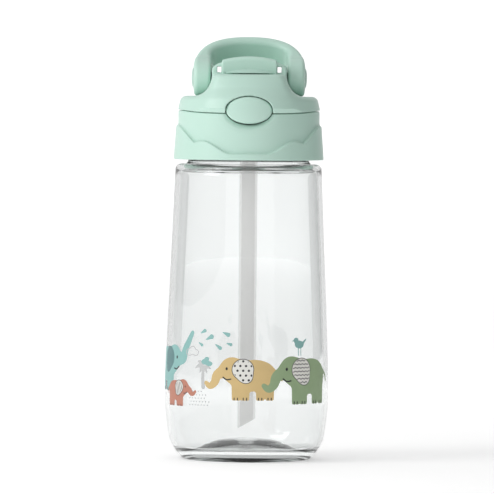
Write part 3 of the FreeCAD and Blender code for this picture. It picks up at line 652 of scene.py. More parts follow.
@dataclass(frozen=True)
class Clear:
    """Clear or milky plastic that light passes through."""

    name: str
    colour: Colour
    roughness: float = 0.0
    clearness: float = 1.0
    bend: float = 1.49
    depth: float = 0.0
    alpha: float = 1.0

    def make(self) -> Material:
        """Build the material.

        Returns:
            The material.
        """
        material, tree, shader = principled(self.name)
        pattern = noise(tree, 30.0)
        paler = tuple(min(value * 1.02, 1.0) for value in self.colour)
        tree.links.new(shaded(tree, pattern, self.colour, paler), shader.inputs["Base Color"])
        rough = spread(tree, noise(tree, 60.0), self.roughness, self.roughness + 0.012)
        tree.links.new(rough, shader.inputs["Roughness"])
        shader.inputs["Transmission Weight"].default_value = self.clearness
        shader.inputs["IOR"].default_value = self.bend
        shader.inputs["Alpha"].default_value = self.alpha
        if self.depth > 0:
            dye = tree.nodes.new("ShaderNodeVolumeAbsorption")
            dye.inputs["Color"].default_value = (0.40, 0.44, 0.43, 1.0)
            dye.inputs["Density"].default_value = self.depth
            output = next(item for item in tree.nodes if item.type == "OUTPUT_MATERIAL")
            tree.links.new(dye.outputs["Volume"], output.inputs["Volume"])
        return material


@dataclass(frozen=True)
class Steel:
    """Drawn spring steel with fine marks."""

    name: str = "spring_steel_finish"
    colour: Colour = (0.62, 0.62, 0.63)

    def make(self) -> Material:
        """Build the material.

        Returns:
            The material.
        """
        material, tree, shader = principled(self.name)
        tree.links.new(shaded(tree, noise(tree, 700.0), self.colour, (0.5, 0.5, 0.51)),
                       shader.inputs["Base Color"])
        shader.inputs["Metallic"].default_value = 1.0
        tree.links.new(spread(tree, noise(tree, 1200.0), 0.2, 0.38), shader.inputs["Roughness"])
        bumped(tree, shader, noise(tree, 1500.0), 0.00002, 0.3)
        return material


@dataclass(frozen=True)
class Ink:
    """Opaque printing ink, slightly uneven like a screen print."""

    name: str
    colour: Colour

    def make(self) -> Material:
        """Build the material.

        Returns:
            The material.
        """
        material, tree, shader = principled(self.name)
        thin = tuple(min(value * 1.12 + 0.01, 1.0) for value in self.colour)
        tree.links.new(shaded(tree, noise(tree, 260.0, 4.0), self.colour, thin),
                       shader.inputs["Base Color"])
        tree.links.new(spread(tree, noise(tree, 1400.0), 0.42, 0.6), shader.inputs["Roughness"])
        return material


MINT = Plastic("mint_plastic", (0.545, 0.765, 0.668), 0.36, glow=0.12)
MINT_HANDLE = Plastic("mint_handle_plastic", (0.545, 0.765, 0.668), 0.36, glow=0.12)
MINT_BUTTON = Plastic("mint_button_plastic", (0.545, 0.765, 0.668), 0.33, glow=0.12)
WHITE_PLASTIC = Plastic("white_plastic", (0.80, 0.80, 0.79), 0.35)
CLEAR_PLASTIC = Clear("clear_plastic", (0.95, 0.96, 0.958), depth=30.0)
MILKY_PLASTIC = Clear("milky_plastic", (0.97, 0.94, 0.925), 0.3, 0.0, 1.4, alpha=0.2)
SOFT_SPOUT = Plastic("soft_spout_rubber", (0.78, 0.78, 0.77), 0.5, glow=0.4)
SOFT_SEAL = Plastic("soft_seal_rubber", (0.74, 0.74, 0.73), 0.55, glow=0.2)
SPRING_STEEL = Steel()

CARRIED = {
    "inner_cap": WHITE_PLASTIC, "lid_gasket": SOFT_SEAL, "mouthpiece_ring": WHITE_PLASTIC,
    "vent_valve": SOFT_SEAL, "button_guide": WHITE_PLASTIC, "button_spring": SPRING_STEEL,
    "button_latch": MINT_BUTTON, "hinge_pin": SPRING_STEEL, "hinge_spring_left": SPRING_STEEL,
    "hinge_spring_right": SPRING_STEEL, "cover_seal_pad": SOFT_SEAL,
}

Finish = Plastic | Clear | Steel | Ink


@dataclass
class Dresser:
    """Hands out finishes, each made once, and binds pieces to the frame."""

    made: dict[str, Material] = field(default_factory=dict)

    def finish(self, wanted: Finish) -> Material:
        """The material for a finish.

        Args:
            wanted: The finish.

        Returns:
            The material.
        """
        if wanted.name not in self.made:
            self.made[wanted.name] = wanted.make()
        return self.made[wanted.name]

    def dress(self, piece: Piece, wanted: Finish, body: str,
              node: str = "", slot: str = "") -> None:
        """Give a piece its finish and bind it to its body.

        Args:
            piece: The piece.
            wanted: Its finish.
            body: The body that it moves with.
            node: The CAD node that it stands for, if any.
            slot: The record's material slot, if any; not used.
        """
        piece.data.materials.clear()
        piece.data.materials.append(self.finish(wanted))
        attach(piece, body)
        if node:
            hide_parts(node)
        LOG.info("%s: %d vertices, moves with %s", piece.name, len(piece.data.vertices), body)

    def carry_over(self) -> None:
        """Give the CAD nodes that stay in view their finishes."""
        for name, wanted in CARRIED.items():
            node = frame["nodes"][name]
            node.data.materials.clear()
            node.data.materials.append(self.finish(wanted))


# ---------------------------------------------------------------------------------- bottle

@dataclass
class Bottle:
    """The clear body: heel, belly, tapering flank, shoulder, threaded neck and raised base."""

    at: Places
    wall: float = 2.0
    foot: tuple[float, float] = (25.0, 28.4)
    punt: float = 24.4
    punt_rise: float = 7.0
    punt_inside: float = 23.4
    gate_radius: float = 3.4
    gate_rise: float = 0.35
    heel: tuple[float, float] = (34.6, 9.3)
    belly: tuple[float, float] = (27.0, 36.0)
    shoulder_radius: float = 32.7
    shoulder_curve: float = 2.5
    neck_radius: float = 27.1
    thread_low: float = 2.6
    thread_pitch: float = 4.0
    thread_turns: float = 1.25
    thread_depth: float = 1.0
    columns: int = 288

    def outer(self, sink: float = 0.0) -> Line:
        """The outside from the foot to the neck's root.

        Args:
            sink: How far inside the surface the outline runs.

        Returns:
            Its points, upwards.
        """
        radius = self.at.body_radius
        flank = self.at.shoulder - self.shoulder_curve
        rise = self.belly[0] - self.heel[1]
        out = radius - self.heel[0]
        heel_curve = (out * out + rise * rise) / (2 * out)
        line = [(self.foot[1], 0.0)]
        line += bend((self.foot[1] + 0.4, 0.35), self.heel, 24.0, 1, 14)
        line += bend(self.heel, (radius, self.belly[0]), heel_curve, 1, 14)
        line += [(radius, self.belly[0]), (radius, self.belly[1])]
        for step in range(1, 24):
            share = step / 24
            lean = share - 0.04 * math.sin(math.pi * share) * (1 - share)
            line.append((radius + (self.shoulder_radius - radius) * lean,
                         self.belly[1] + (flank - self.belly[1]) * share))
        curve = self.shoulder_curve
        for step in range(9):
            angle = math.pi / 2 * step / 8
            line.append((self.shoulder_radius - curve + curve * math.cos(angle),
                         flank + curve * math.sin(angle)))
        if sink <= 0:
            return line
        return [(u - sink, v) for u, v in line]

    def radius_at(self, height: Array) -> Array:
        """The outside radius at some heights on the flank.

        Args:
            height: Heights.

        Returns:
            The radius at each.
        """
        line = np.array(self.outer())
        order = np.argsort(line[:, 1], kind="stable")
        return np.interp(height, line[order, 1], line[order, 0])

    def outline(self) -> Line:
        """The whole wall's outline, out and up the outside, then down the inside.

        Returns:
            Its points.
        """
        top = self.at.neck_top
        neck = self.neck_radius
        line = [(0.0, self.punt_rise + self.gate_rise)]
        line += [(self.gate_radius - 0.5, self.punt_rise + self.gate_rise),
                 (self.gate_radius, self.punt_rise + 0.02)]
        line += [(self.punt * share, 0.5 + (self.punt_rise - 0.5) * (1 - share**3.6))
                 for share in np.linspace(0.22, 1.0, 12)]
        line.append((self.foot[0], 0.0))
        line += self.outer()
        line += [(neck + 1.2, self.at.shoulder), (neck + 0.35, self.at.shoulder + 0.35),
                 (neck, self.at.shoulder + 1.2)]
        low = self.at.shoulder + 1.2
        rows = 52
        line += [(neck, low + (top - 0.7 - low) * row / rows) for row in range(1, rows + 1)]
        line += [(neck - 0.2, top - 0.2), (neck - 0.7, top)]
        inside = neck - self.wall
        line += [(inside + 0.6, top), (inside + 0.15, top - 0.2), (inside, top - 0.8)]
        line += [(inside, self.at.shoulder - 0.2), (inside + 0.7, self.at.shoulder - 1.2)]
        inner = [(u, v) for u, v in self.outer(self.wall) if 6 < v < self.at.shoulder - 0.5]
        joined = self.shoulder_radius - self.wall
        line += [(joined - 1.4, self.at.shoulder - 1.4), (joined - 0.4, self.at.shoulder - 1.9),
                 (joined + 0.1, self.at.shoulder - 2.9)]
        line += [(u, v) for u, v in reversed(inner) if v < self.at.shoulder - 3.5]
        line += bend((self.heel[0] - self.wall - 1.1, 6.2), (self.foot[1] - 5.0, 3.4), 12.0, -1, 10)[1:]
        line += [(self.punt_inside * share, 3.4 + (self.punt_rise - 1.1) * (1 - share**3.6))
                 for share in np.linspace(1.0, 0.0, 16)]
        return line

    def threaded(self, angle: Array, radius: Array, height: Array) -> Array:
        """Add the thread's ridge to the neck's outside.

        Args:
            angle: Angles round the axis.
            radius: Radii without the thread.
            height: Heights.

        Returns:
            The radius of each point.
        """
        start = self.at.shoulder + self.thread_low
        turns = angle / (2 * math.pi)
        raised = np.zeros_like(radius)
        for lap in (0, 1):
            way = turns + lap
            centre = start + 0.9 + way * self.thread_pitch
            ends = ramp(way, 0.0, 0.04) * (1 - ramp(way, self.thread_turns - 0.04, self.thread_turns))
            raised = np.maximum(raised, ends * (1 - ramp(np.abs(height - centre), 0.4, 0.95)))
        neck = np.abs(radius - self.neck_radius) < 0.01
        return np.where(neck, radius + self.thread_depth * raised, radius)

    def build(self) -> Piece:
        """Make the bottle's wall."""
        return turned("bottle_glass", self.outline(), self.columns, self.threaded)

    def dress(self, dresser: Dresser) -> None:
        """Build the bottle's wall and give it its finish."""
        dresser.dress(self.build(), CLEAR_PLASTIC, "bottle", "bottle_body", "clear_body")


# ---------------------------------------------------------------------------------- printed motifs

class Tone(Enum):
    """The print's inks."""

    TEAL = (0.235, 0.450, 0.430)
    DEEP_TEAL = (0.095, 0.205, 0.210)
    CORAL = (0.460, 0.190, 0.130)
    TAN = (0.620, 0.450, 0.200)
    SAGE = (0.270, 0.375, 0.210)
    GREY = (0.50, 0.51, 0.51)
    WHITE = (0.74, 0.73, 0.69)
    BLACK = (0.018, 0.018, 0.02)


def ball(u: Array, v: Array, place: tuple[float, float], size: tuple[float, float],
         lean: float = 0.0) -> Array:
    """A leaning ellipse in the print's own plane.

    Args:
        u: Places across.
        v: Places up.
        place: Its middle.
        size: Its half width and half height.
        lean: How far it is turned, in degrees.

    Returns:
        Distances, negative inside.
    """
    turn = math.radians(lean)
    across = (u - place[0]) * math.cos(turn) + (v - place[1]) * math.sin(turn)
    up = (v - place[1]) * math.cos(turn) - (u - place[0]) * math.sin(turn)
    return oval(across, up, size[0], size[1])


def stroke(u: Array, v: Array, way: Sequence[tuple[float, float]], start: float,
           end: float | None = None) -> Array:
    """A line through some points, with its half width going from start to end.

    Args:
        u: Places across.
        v: Places up.
        way: The line's points.
        start: Half width at its start.
        end: Half width at its end, if it differs.

    Returns:
        Distances, negative inside.
    """
    end = start if end is None else end
    best = np.full_like(u, 1e3)
    steps = len(way) - 1
    for number in range(steps):
        (ax, ay), (bx, by) = way[number], way[number + 1]
        length = max((bx - ax)**2 + (by - ay)**2, 1e-9)
        share = np.clip(((u - ax) * (bx - ax) + (v - ay) * (by - ay)) / length, 0, 1)
        away = np.hypot(u - ax - share * (bx - ax), v - ay - share * (by - ay))
        wide = start + (end - start) * (number + share) / steps
        best = np.minimum(best, away - wide)
    return best


def curve_through(way: Sequence[tuple[float, float]], pieces: int = 6) -> Line:
    """A smooth line through some points.

    Args:
        way: The points.
        pieces: How many short lines join each two of them.

    Returns:
        The smooth line's points.
    """
    points = [Vector(way[0]), *[Vector(item) for item in way], Vector(way[-1])]
    made = []
    for number in range(1, len(points) - 2):
        a, b, c, d = points[number - 1:number + 3]
        for step in range(pieces):
            t = step / pieces
            made.append(0.5 * (2 * b + (c - a) * t + (2 * a - 5 * b + 4 * c - d) * t**2
                               + (3 * b - a - 3 * c + d) * t**3))
    made.append(Vector(way[-1]))
    return [(item.x, item.y) for item in made]


Layer = tuple[Tone, Callable[[Array, Array], Array]]


@dataclass(frozen=True)
class Animal:
    """A plain round-bodied animal seen from the side, in one ink with a patterned ear."""

    place: tuple[float, float]
    size: float
    tone: Tone
    facing: int = -1
    ear: str = "dots"
    raised: float = 0.0

    def local(self, u: Array, v: Array) -> tuple[Array, Array]:
        """Turn the print's places into the animal's own, with its length about 2."""
        return (u - self.place[0]) * -self.facing / self.size, (v - self.place[1]) / self.size

    def body(self, u: Array, v: Array) -> Array:
        """Its body, head, legs, trunk and tail.

        Args:
            u: Places across.
            v: Places up.

        Returns:
            Distances, negative inside.
        """
        x, y = self.local(u, v)
        made = ball(x, y, (0.18, 0.02), (0.78, 0.52), 4)
        made = join(made, ball(x, y, (-0.52, 0.22), (0.42, 0.40)), 0.22)
        for foot in (-0.38, -0.08, 0.42, 0.74):
            made = join(made, stroke(x, y, [(foot, -0.2), (foot, -0.72)], 0.15, 0.14), 0.08)
        made = np.maximum(made, -0.80 - y)
        lift = self.raised
        trunk = curve_through([(-0.75, 0.2), (-1.02, 0.02 + 0.2 * lift), (-1.12, -0.22 + 0.7 * lift),
                               (-1.28, -0.34 + 1.1 * lift), (-1.42, -0.24 + 1.25 * lift)])
        made = join(made, stroke(x, y, trunk, 0.2, 0.07), 0.08)
        tail = curve_through([(0.88, 0.2), (1.08, 0.05), (1.16, -0.14)])
        made = join(made, stroke(x, y, tail, 0.045, 0.03), 0.03)
        return made * self.size

    def flap(self, u: Array, v: Array) -> Array:
        """Its ear.

        Args:
            u: Places across.
            v: Places up.

        Returns:
            Distances, negative inside.
        """
        x, y = self.local(u, v)
        made = join(ball(x, y, (-0.16, 0.22), (0.36, 0.34), 8), ball(x, y, (-0.06, -0.04), (0.22, 0.2)), 0.12)
        return made * self.size

    def rim(self, u: Array, v: Array) -> Array:
        """The ear's outline."""
        return np.abs(self.flap(u, v)) - 0.15

    def pattern(self, u: Array, v: Array) -> Array:
        """The pattern on the ear: dots, upright stripes or zigzags.

        Args:
            u: Places across.
            v: Places up.

        Returns:
            Distances, negative inside.
        """
        if self.ear == "stripes":
            made = np.abs(np.mod(u + 0.25 * (v - self.place[1]), 1.15) - 0.575) - 0.2
        elif self.ear == "zigzags":
            made = np.abs(np.mod(v + 0.6 * np.abs(np.mod(u, 2.0) - 1.0), 1.6) - 0.8) - 0.19
        else:
            made = np.full_like(u, 9.0)
            for row in range(-4, 5):
                for column in range(-3, 4):
                    dot = (self.place[0] + self.facing * 0.15 * self.size + column * 2.5
                           + 1.25 * (row % 2), self.place[1] + 0.18 * self.size + row * 2.1)
                    made = np.minimum(made, np.hypot(u - dot[0], v - dot[1]) - 0.52)
        return np.maximum(made, self.flap(u, v) + 0.45)

    def eye(self, u: Array, v: Array) -> Array:
        """Its eye."""
        x, y = self.local(u, v)
        return (np.hypot((x + 0.7) * 1.3, y - 0.24) - 0.05) * self.size

    def smile(self, u: Array, v: Array) -> Array:
        """Its cheek's line and its toes.

        Args:
            u: Places across.
            v: Places up.

        Returns:
            Distances, negative inside.
        """
        x, y = self.local(u, v)
        mouth = stroke(x, y, curve_through([(-0.82, -0.04), (-0.7, -0.12), (-0.56, -0.1)]), 0.02)
        for foot in (-0.38, -0.08, 0.42, 0.74):
            for toe in (-0.06, 0.05):
                mouth = np.minimum(mouth, stroke(x, y, [(foot + toe, -0.79), (foot + toe, -0.72)], 0.016))
        return mouth * self.size

    def layers(self) -> list[Layer]:
        """Its inks, from the lowest.

        Returns:
            Each ink with its area, from the lowest.
        """
        plain = self.ear == "plain"
        flap_tone = Tone.DEEP_TEAL if plain else Tone.WHITE
        made: list[Layer] = [(self.tone, self.body), (flap_tone, self.flap)]
        if not plain:
            made += [(Tone.BLACK, self.rim), (Tone.BLACK, self.pattern)]
        return made + [(Tone.BLACK, self.eye), (Tone.BLACK, self.smile)]


@dataclass(frozen=True)
class Shapes:
    """A plain motif made of a few rounds and strokes in one ink."""

    tone: Tone
    balls: tuple[tuple[float, float, float, float], ...] = ()
    strokes: tuple[tuple[tuple[tuple[float, float], ...], float, float], ...] = ()
    line: float = 0.0
    blend: float = 0.3

    def field(self, u: Array, v: Array) -> Array:
        """Distances to the motif, or to its outline if it has a line's width.

        Args:
            u: Places across.
            v: Places up.

        Returns:
            Distances, negative inside.
        """
        made = np.full_like(u, 1e3)
        for x, y, wide, high in self.balls:
            made = join(made, ball(u, v, (x, y), (wide, high)), self.blend)
        if self.line > 0:
            made = np.abs(made) - self.line
        for way, start, end in self.strokes:
            made = np.minimum(made, stroke(u, v, curve_through(way), start, end))
        return made

    def layers(self) -> list[Layer]:
        """Its one ink."""
        return [(self.tone, self.field)]


def water_drops() -> Shapes:
    """Six leaning drops over the first animal's nose.

    Returns:
        The motif.
    """
    places = ((-20.6, 58.0, 1.7, 0.5), (-17.2, 55.4, 2.2, 0.5), (-9.2, 57.0, 2.0, -0.4),
              (-21.8, 52.2, 1.4, -0.6),              (-12.8, 51.2, 1.8, -0.7), (-7.8, 52.6, 1.5, -0.3))
    drops = tuple((((x - size, y - size * lean), (x + size * 0.3, y + size * lean * 0.3)), 0.12, size * 0.5)
                  for x, y, size, lean in places)
    return Shapes(Tone.TEAL, (), drops)


def palm() -> list[Shapes]:
    """A small tree with broad leaves, in two inks.

    Returns:
        The motifs, one for each ink.
    """
    middle = (-20.4, 42.4)
    leaves = []
    for x, y in ((-4.2, -0.6), (-3.0, 2.4), (3.9, -0.9), (-1.8, -2.6), (2.0, -2.8)):
        tip = (middle[0] + x, middle[1] + y)
        half = (middle[0] + x * 0.55, middle[1] + y * 0.55 + 0.7)
        leaves.append(((middle, half), 0.35, 0.85))
        leaves.append(((half, tip), 0.85, 0.12))
    trunk = (((-20.2, 33.4), (-20.5, 37.5), middle), 0.95, 0.6)
    crown = ((-19.4, 44.6, 2.0, 1.3), (-17.4, 43.8, 1.6, 1.1), (-18.6, 45.9, 1.2, 0.9))
    return [Shapes(Tone.GREY, (), (*leaves, trunk)), Shapes(Tone.TEAL, crown)]


def cloud() -> Shapes:
    """A small outlined cloud."""
    rounds = ((-28.6, 48.6, 1.9, 1.5), (-26.6, 49.4, 1.8, 1.8), (-24.8, 48.5, 1.6, 1.3))
    return Shapes(Tone.GREY, rounds, (), 0.2)


def stipple() -> Shapes:
    """A patch of loose dots on the ground.

    Returns:
        The motif.
    """
    dots = []
    for row in range(5):
        for column in range(7 - row // 2):
            shift = 0.7 * (row % 2)
            dots.append((-27.6 + column * 1.6 + shift, 25.4 + row * 1.5, 0.34, 0.34))
    return Shapes(Tone.GREY, tuple(dots), blend=0.0)


def bird() -> Shapes:
    """A small bird on the fourth animal's back.

    Returns:
        The motif.
    """
    parts = ((25.4, 52.4, 2.6, 1.7), (23.6, 54.2, 1.4, 1.3))
    ways = ((((27.2, 52.8), (29.4, 54.6)), 0.7, 0.25), (((22.6, 54.3), (21.3, 53.9)), 0.34, 0.08),
            (((24.8, 51.5), (24.8, 47.6)), 0.2, 0.2), (((26.2, 51.5), (26.2, 47.6)), 0.2, 0.2))
    return Shapes(Tone.TEAL, parts, ways)


@dataclass
class Print:
    """The ring of printed motifs, each ink a thin shell on the bottle's outside."""

    bottle: Bottle
    motifs: Sequence[Animal | Shapes]
    step: float = 0.22
    thickness: float = 0.03

    def build(self) -> list[Piece]:
        """Make one piece for each ink, raised a little more for each layer it lies on.

        Returns:
            The pieces.
        """
        depth = max(len(motif.layers()) for motif in self.motifs)
        made = []
        for tone in Tone:
            shells = []
            for place, motif in enumerate(self.motifs):
                for level, (ink, shape) in enumerate(motif.layers()):
                    if ink is tone:
                        shells.append(self.shell(shape, level / depth + 0.3 * place))
            shells = [shell for shell in shells if shell]
            if shells:
                made.append(self.gather(f"print_{tone.name.lower()}", shells))
        return made

    def shell(self, shape: Callable[[Array, Array], Array],
              level: float) -> Shell | None:
        """Cut one ink's area into faces on the bottle's flat-rolled surface.

        Args:
            shape: The area's field.
            level: How high above the plastic it lies, from 0 to 1.

        Returns:
            Its points and faces, or none where there is nothing to print.
        """
        across = np.arange(-62.0, 62.0 + self.step, self.step)
        up = np.arange(20.0, 62.0 + self.step, self.step)
        u, v = np.meshgrid(across, up, indexing="ij")
        values = shape(u.ravel(), v.ravel()).reshape(u.shape)
        points: list[tuple[float, float]] = []
        number: dict[tuple[int, ...], int] = {}
        faces: list[tuple[int, ...]] = []

        def corner(i: int, j: int) -> int:
            """Number one of the grid's corners.

            Args:
                i: Its place across.
                j: Its place up.

            Returns:
                The point's number.
            """
            if (i, j) not in number:
                number[(i, j)] = len(points)
                points.append((across[i], up[j]))
            return number[(i, j)]

        def between(i: int, j: int, k: int, m: int) -> int:
            """Number the place where the edge of the area crosses one of the grid's edges.

            Args:
                i: The edge's first corner, across.
                j: The same, up.
                k: Its second corner, across.
                m: The same, up.

            Returns:
                The point's number.
            """
            key = (i, j, k, m) if (i, j) < (k, m) else (k, m, i, j)
            if key not in number:
                number[key] = len(points)
                a, b = values[i, j], values[k, m]
                share = a / (a - b)
                points.append((across[i] + (across[k] - across[i]) * share,
                               up[j] + (up[m] - up[j]) * share))
            return number[key]

        inside = values < 0
        touched = inside[:-1, :-1] | inside[1:, :-1] | inside[1:, 1:] | inside[:-1, 1:]
        for i, j in zip(*np.nonzero(touched)):
            ring = [(i, j), (i + 1, j), (i + 1, j + 1), (i, j + 1)]
            face = []
            for spot, here in enumerate(ring):
                there = ring[(spot + 1) % 4]
                if inside[here]:
                    face.append(corner(*here))
                if inside[here] != inside[there]:
                    face.append(between(*here, *there))
            if len(face) >= 3:
                faces.append(tuple(face))
        if not faces:
            return None
        flat = np.array(points)
        radius = self.bottle.radius_at(flat[:, 1]) + self.thickness * (1 + 2 * level)
        angle = -math.pi / 2 + flat[:, 0] / self.bottle.at.body_radius
        placed = np.stack([radius * np.cos(angle), radius * np.sin(angle), flat[:, 1]], axis=1)
        return placed, faces

    def gather(self, name: str, shells: Sequence[Shell]) -> Piece:
        """Join one ink's areas and give them their thickness.

        Args:
            name: Its name.
            shells: Each area's points and faces.

        Returns:
            The piece.
        """
        points = np.concatenate([shell[0] for shell in shells])
        faces = []
        base = 0
        for placed, cells in shells:
            faces += [tuple(item + base for item in cell) for cell in cells]
            base += len(placed)
        made = mesh_object(name, points, faces)
        solid = made.modifiers.new("thickness", "SOLIDIFY")
        solid.thickness = self.thickness * METRE * 0.9
        solid.offset = -1.0
        return made

    def dress(self, dresser: Dresser) -> None:
        """Build every ink and give each its finish.

        Args:
            dresser: Hands out the finishes.
        """
        for piece in self.build():
            tone = Tone[piece.name.removeprefix("print_").upper()]
            dresser.dress(piece, Ink(f"ink_{tone.name.lower()}", tone.value), "bottle")


# ---------------------------------------------------------------------------------- lid

@dataclass
class LidShell:
    """The lid's outer moulding: wavy skirt, band, finger scoop, deck and hinge knuckles."""

    at: Places
    bore: float = 30.15
    rim_bore: float = 29.5
    skirt_top_out: float = 0.9
    wave_low: float = 2.9
    wave_flat: float = 8.2
    wave_crest: float = 8.5
    wave_crest_side: float = 20.7
    wave_dip: float = 7.8
    wave_dip_side: float = 24.3
    wave_end_side: float = 31.0
    scoop: tuple[float, float] = (12.6, 9.0)
    scoop_depth: float = 2.4
    hole: tuple[float, float] = (10.5, 6.3)
    knuckle: float = 2.8
    knuckle_span: tuple[float, float] = (8.2, 12.2)
    pin: float = 1.25
    sleeve: float = 5.7
    valve: tuple[float, float] = (17.5, 1.3)
    rim_wall: float = 1.6
    rim_depth: tuple[float, float] = (26.8, 31.0)
    hole_back: float = 26.0
    hole_drift: float = 0.3
    front_wall: float = -10.0
    arm_drop: float = 3.2

    def wave(self, side: Array) -> Array:
        """Height of the skirt's wavy edge at some distances to the side.

        Args:
            side: Distances to the side.

        Returns:
            A height for each.
        """
        foot = self.at.lid_foot
        rise = (self.wave_crest - self.wave_low) * ramp(side, self.wave_flat - 0.6, self.wave_crest_side)
        made = foot + self.wave_low + rise
        dip = (self.wave_crest - self.wave_dip) * ramp(side, self.wave_crest_side, self.wave_dip_side)
        made = made - dip
        climb = np.clip((side - self.wave_dip_side) / (self.wave_end_side - self.wave_dip_side), 0, 1)
        return made + (self.at.skirt_top - foot - self.wave_dip) * climb

    def skirt(self, points: Array, radius: Array) -> Array:
        """The raised skirt under the wavy edge.

        Args:
            points: Places, one in each row.
            radius: Distances from the bottle's axis.

        Returns:
            Distances, negative inside.
        """
        height = points[:, 2]
        share = (height - self.at.lid_foot) / (self.at.skirt_top - self.at.lid_foot)
        out = radius - self.at.lid_radius + (2.0 - self.skirt_top_out) * share
        side = np.abs(points[:, 0])
        slope = (self.wave(side + 0.2) - self.wave(side - 0.2)) / 0.4
        above = (height - self.wave(side)) / np.sqrt(1 + slope * slope)
        return meet(out, above, 0.75)

    def knuckles(self, points: Array) -> Array:
        """The two hinge knuckles on their brackets.

        Args:
            points: Places, one in each row.

        Returns:
            Distances, negative inside.
        """
        side = slab(np.abs(points[:, 0]), *self.knuckle_span)
        y, z = points[:, 1], points[:, 2]
        barrel = np.hypot(y - self.at.hinge_y, z - self.at.hinge_z) - self.knuckle
        back = self.at.hinge_y + self.knuckle
        foot = self.at.hinge_z - self.knuckle * self.arm_drop
        lean = math.hypot(back - self.at.band_radius, self.at.hinge_z - foot)
        under = ((y - self.at.band_radius) * (self.at.hinge_z - 1.2 - foot)
                 - (z - foot) * (back - self.at.band_radius)) / lean
        arm = np.maximum.reduce([self.at.band_radius - 1.6 - y, y - back, z - self.at.hinge_z, under,
                                 foot - z])
        above = (z - self.at.rim) - (y - self.at.band_radius + 1.0) * 1.2
        arm = np.maximum(arm, above * 0.64)
        return meet(join(barrel, arm, 0.4), side, 0.35)

    def field(self, points: Array) -> Array:
        """Distances to the lid's moulding.

        Args:
            points: Places, one in each row.

        Returns:
            Distances, negative inside.
        """
        x, y, z = points.T
        radius = np.hypot(x, y)
        dip = self.at.dip(y)
        band = meet(radius - self.at.band_radius, z - self.at.rim + dip, 0.5)
        body = join(band, self.skirt(points, radius), 0.7)
        body = meet(body, self.at.lid_foot - z, 0.3)
        inside = np.maximum(radius - self.bore, z - self.at.roof)
        inside = np.minimum(inside, np.maximum(radius - self.rim_bore, self.at.deck - z))
        body = cut(body, inside, 0.25)
        up = z - self.at.button_z
        ring = np.maximum(oval(x, up, self.hole[0] + self.rim_wall, self.hole[1] + self.rim_wall),
                          slab(radius, *self.rim_depth))
        ring = np.maximum(np.maximum(ring, self.at.roof - z), np.maximum(z - self.at.rim + dip, y))
        body = np.minimum(body, ring)
        within = np.hypot(x / self.scoop[0], up / self.scoop[1])
        share = np.clip((1 - within) / (1 - self.hole[1] / self.scoop[1]), -0.6, 1.1)
        hollow = self.at.band_radius - self.scoop_depth * share * np.sqrt(np.abs(share)) - radius
        hollow = np.where(y < self.front_wall, np.maximum(hollow, (within - 1.25) * 8), 9.0)
        body = cut(body, hollow * 0.7, 0.35)
        body = cut(body, rod(points, 2, (0, 0), self.sleeve, *THROUGH))
        body = cut(body, rod(points, 2, (0, self.valve[0]), self.valve[1], *THROUGH))
        body = join(body, self.knuckles(points), 0.3)
        body = cut(body, rod(points, 0, (self.at.hinge_y, self.at.hinge_z), self.pin, *ASIDE), 0.15)
        hole = np.maximum(oval(x, up - self.hole_drift, *self.hole), y + self.hole_back)
        return cut(body, hole, 0.25)

    def build(self) -> Piece:
        """Make the lid's moulding.

        Returns:
            The piece.
        """
        edge = self.at.lid_radius + 1.5
        low = (-edge, -edge, self.at.lid_foot - 1.2)
        high = (edge, self.at.lid_half_depth + 1.5, self.at.hinge_z + self.knuckle + 1.2)
        return Mould(self.field, low, high, 0.5).cast("lid_moulding")

    def dress(self, dresser: Dresser) -> None:
        """Build the lid's moulding and give it its finish."""
        dresser.dress(self.build(), MINT, "lid", "lid_shell", "mint_shell")


@dataclass
class PushButton:
    """The oval button, a little domed, with a soft edge."""

    at: Places
    half: tuple[float, float] = (10.15, 5.95)
    wall: float = 2.4
    crown: float = 0.5
    rise: float = 0.3

    def field(self, points: Array) -> Array:
        """Distances to the button.

        Args:
            points: Places, one in each row.

        Returns:
            Distances, negative inside.
        """
        x, y, z = points.T
        up = z - self.at.button_z - self.rise
        bulge = self.crown * (1 - (x / self.half[0])**2 - (up / self.half[1])**2)
        front = np.hypot(x, y) + self.at.button_front - bulge + 0.35
        made = meet(oval(x, up, *self.half), front, 0.9)
        back = -self.at.button_front - self.wall - np.hypot(x, y)
        return np.maximum(np.maximum(made, back), y)

    def build(self) -> Piece:
        """Make the button.

        Returns:
            The piece.
        """
        front = self.at.button_front
        low = (-self.half[0] - 1, front - 1.5, self.at.button_z - self.half[1] - 1)
        high = (self.half[0] + 1, front + 6.5, self.at.button_z + self.half[1] + 1)
        return Mould(self.field, low, high, 0.3).cast("button_cap")

    def dress(self, dresser: Dresser) -> None:
        """Build the button and give it its finish."""
        dresser.dress(self.build(), MINT_BUTTON, "button", "push_button", "mint_button")


# ---------------------------------------------------------------------------------- flip cover

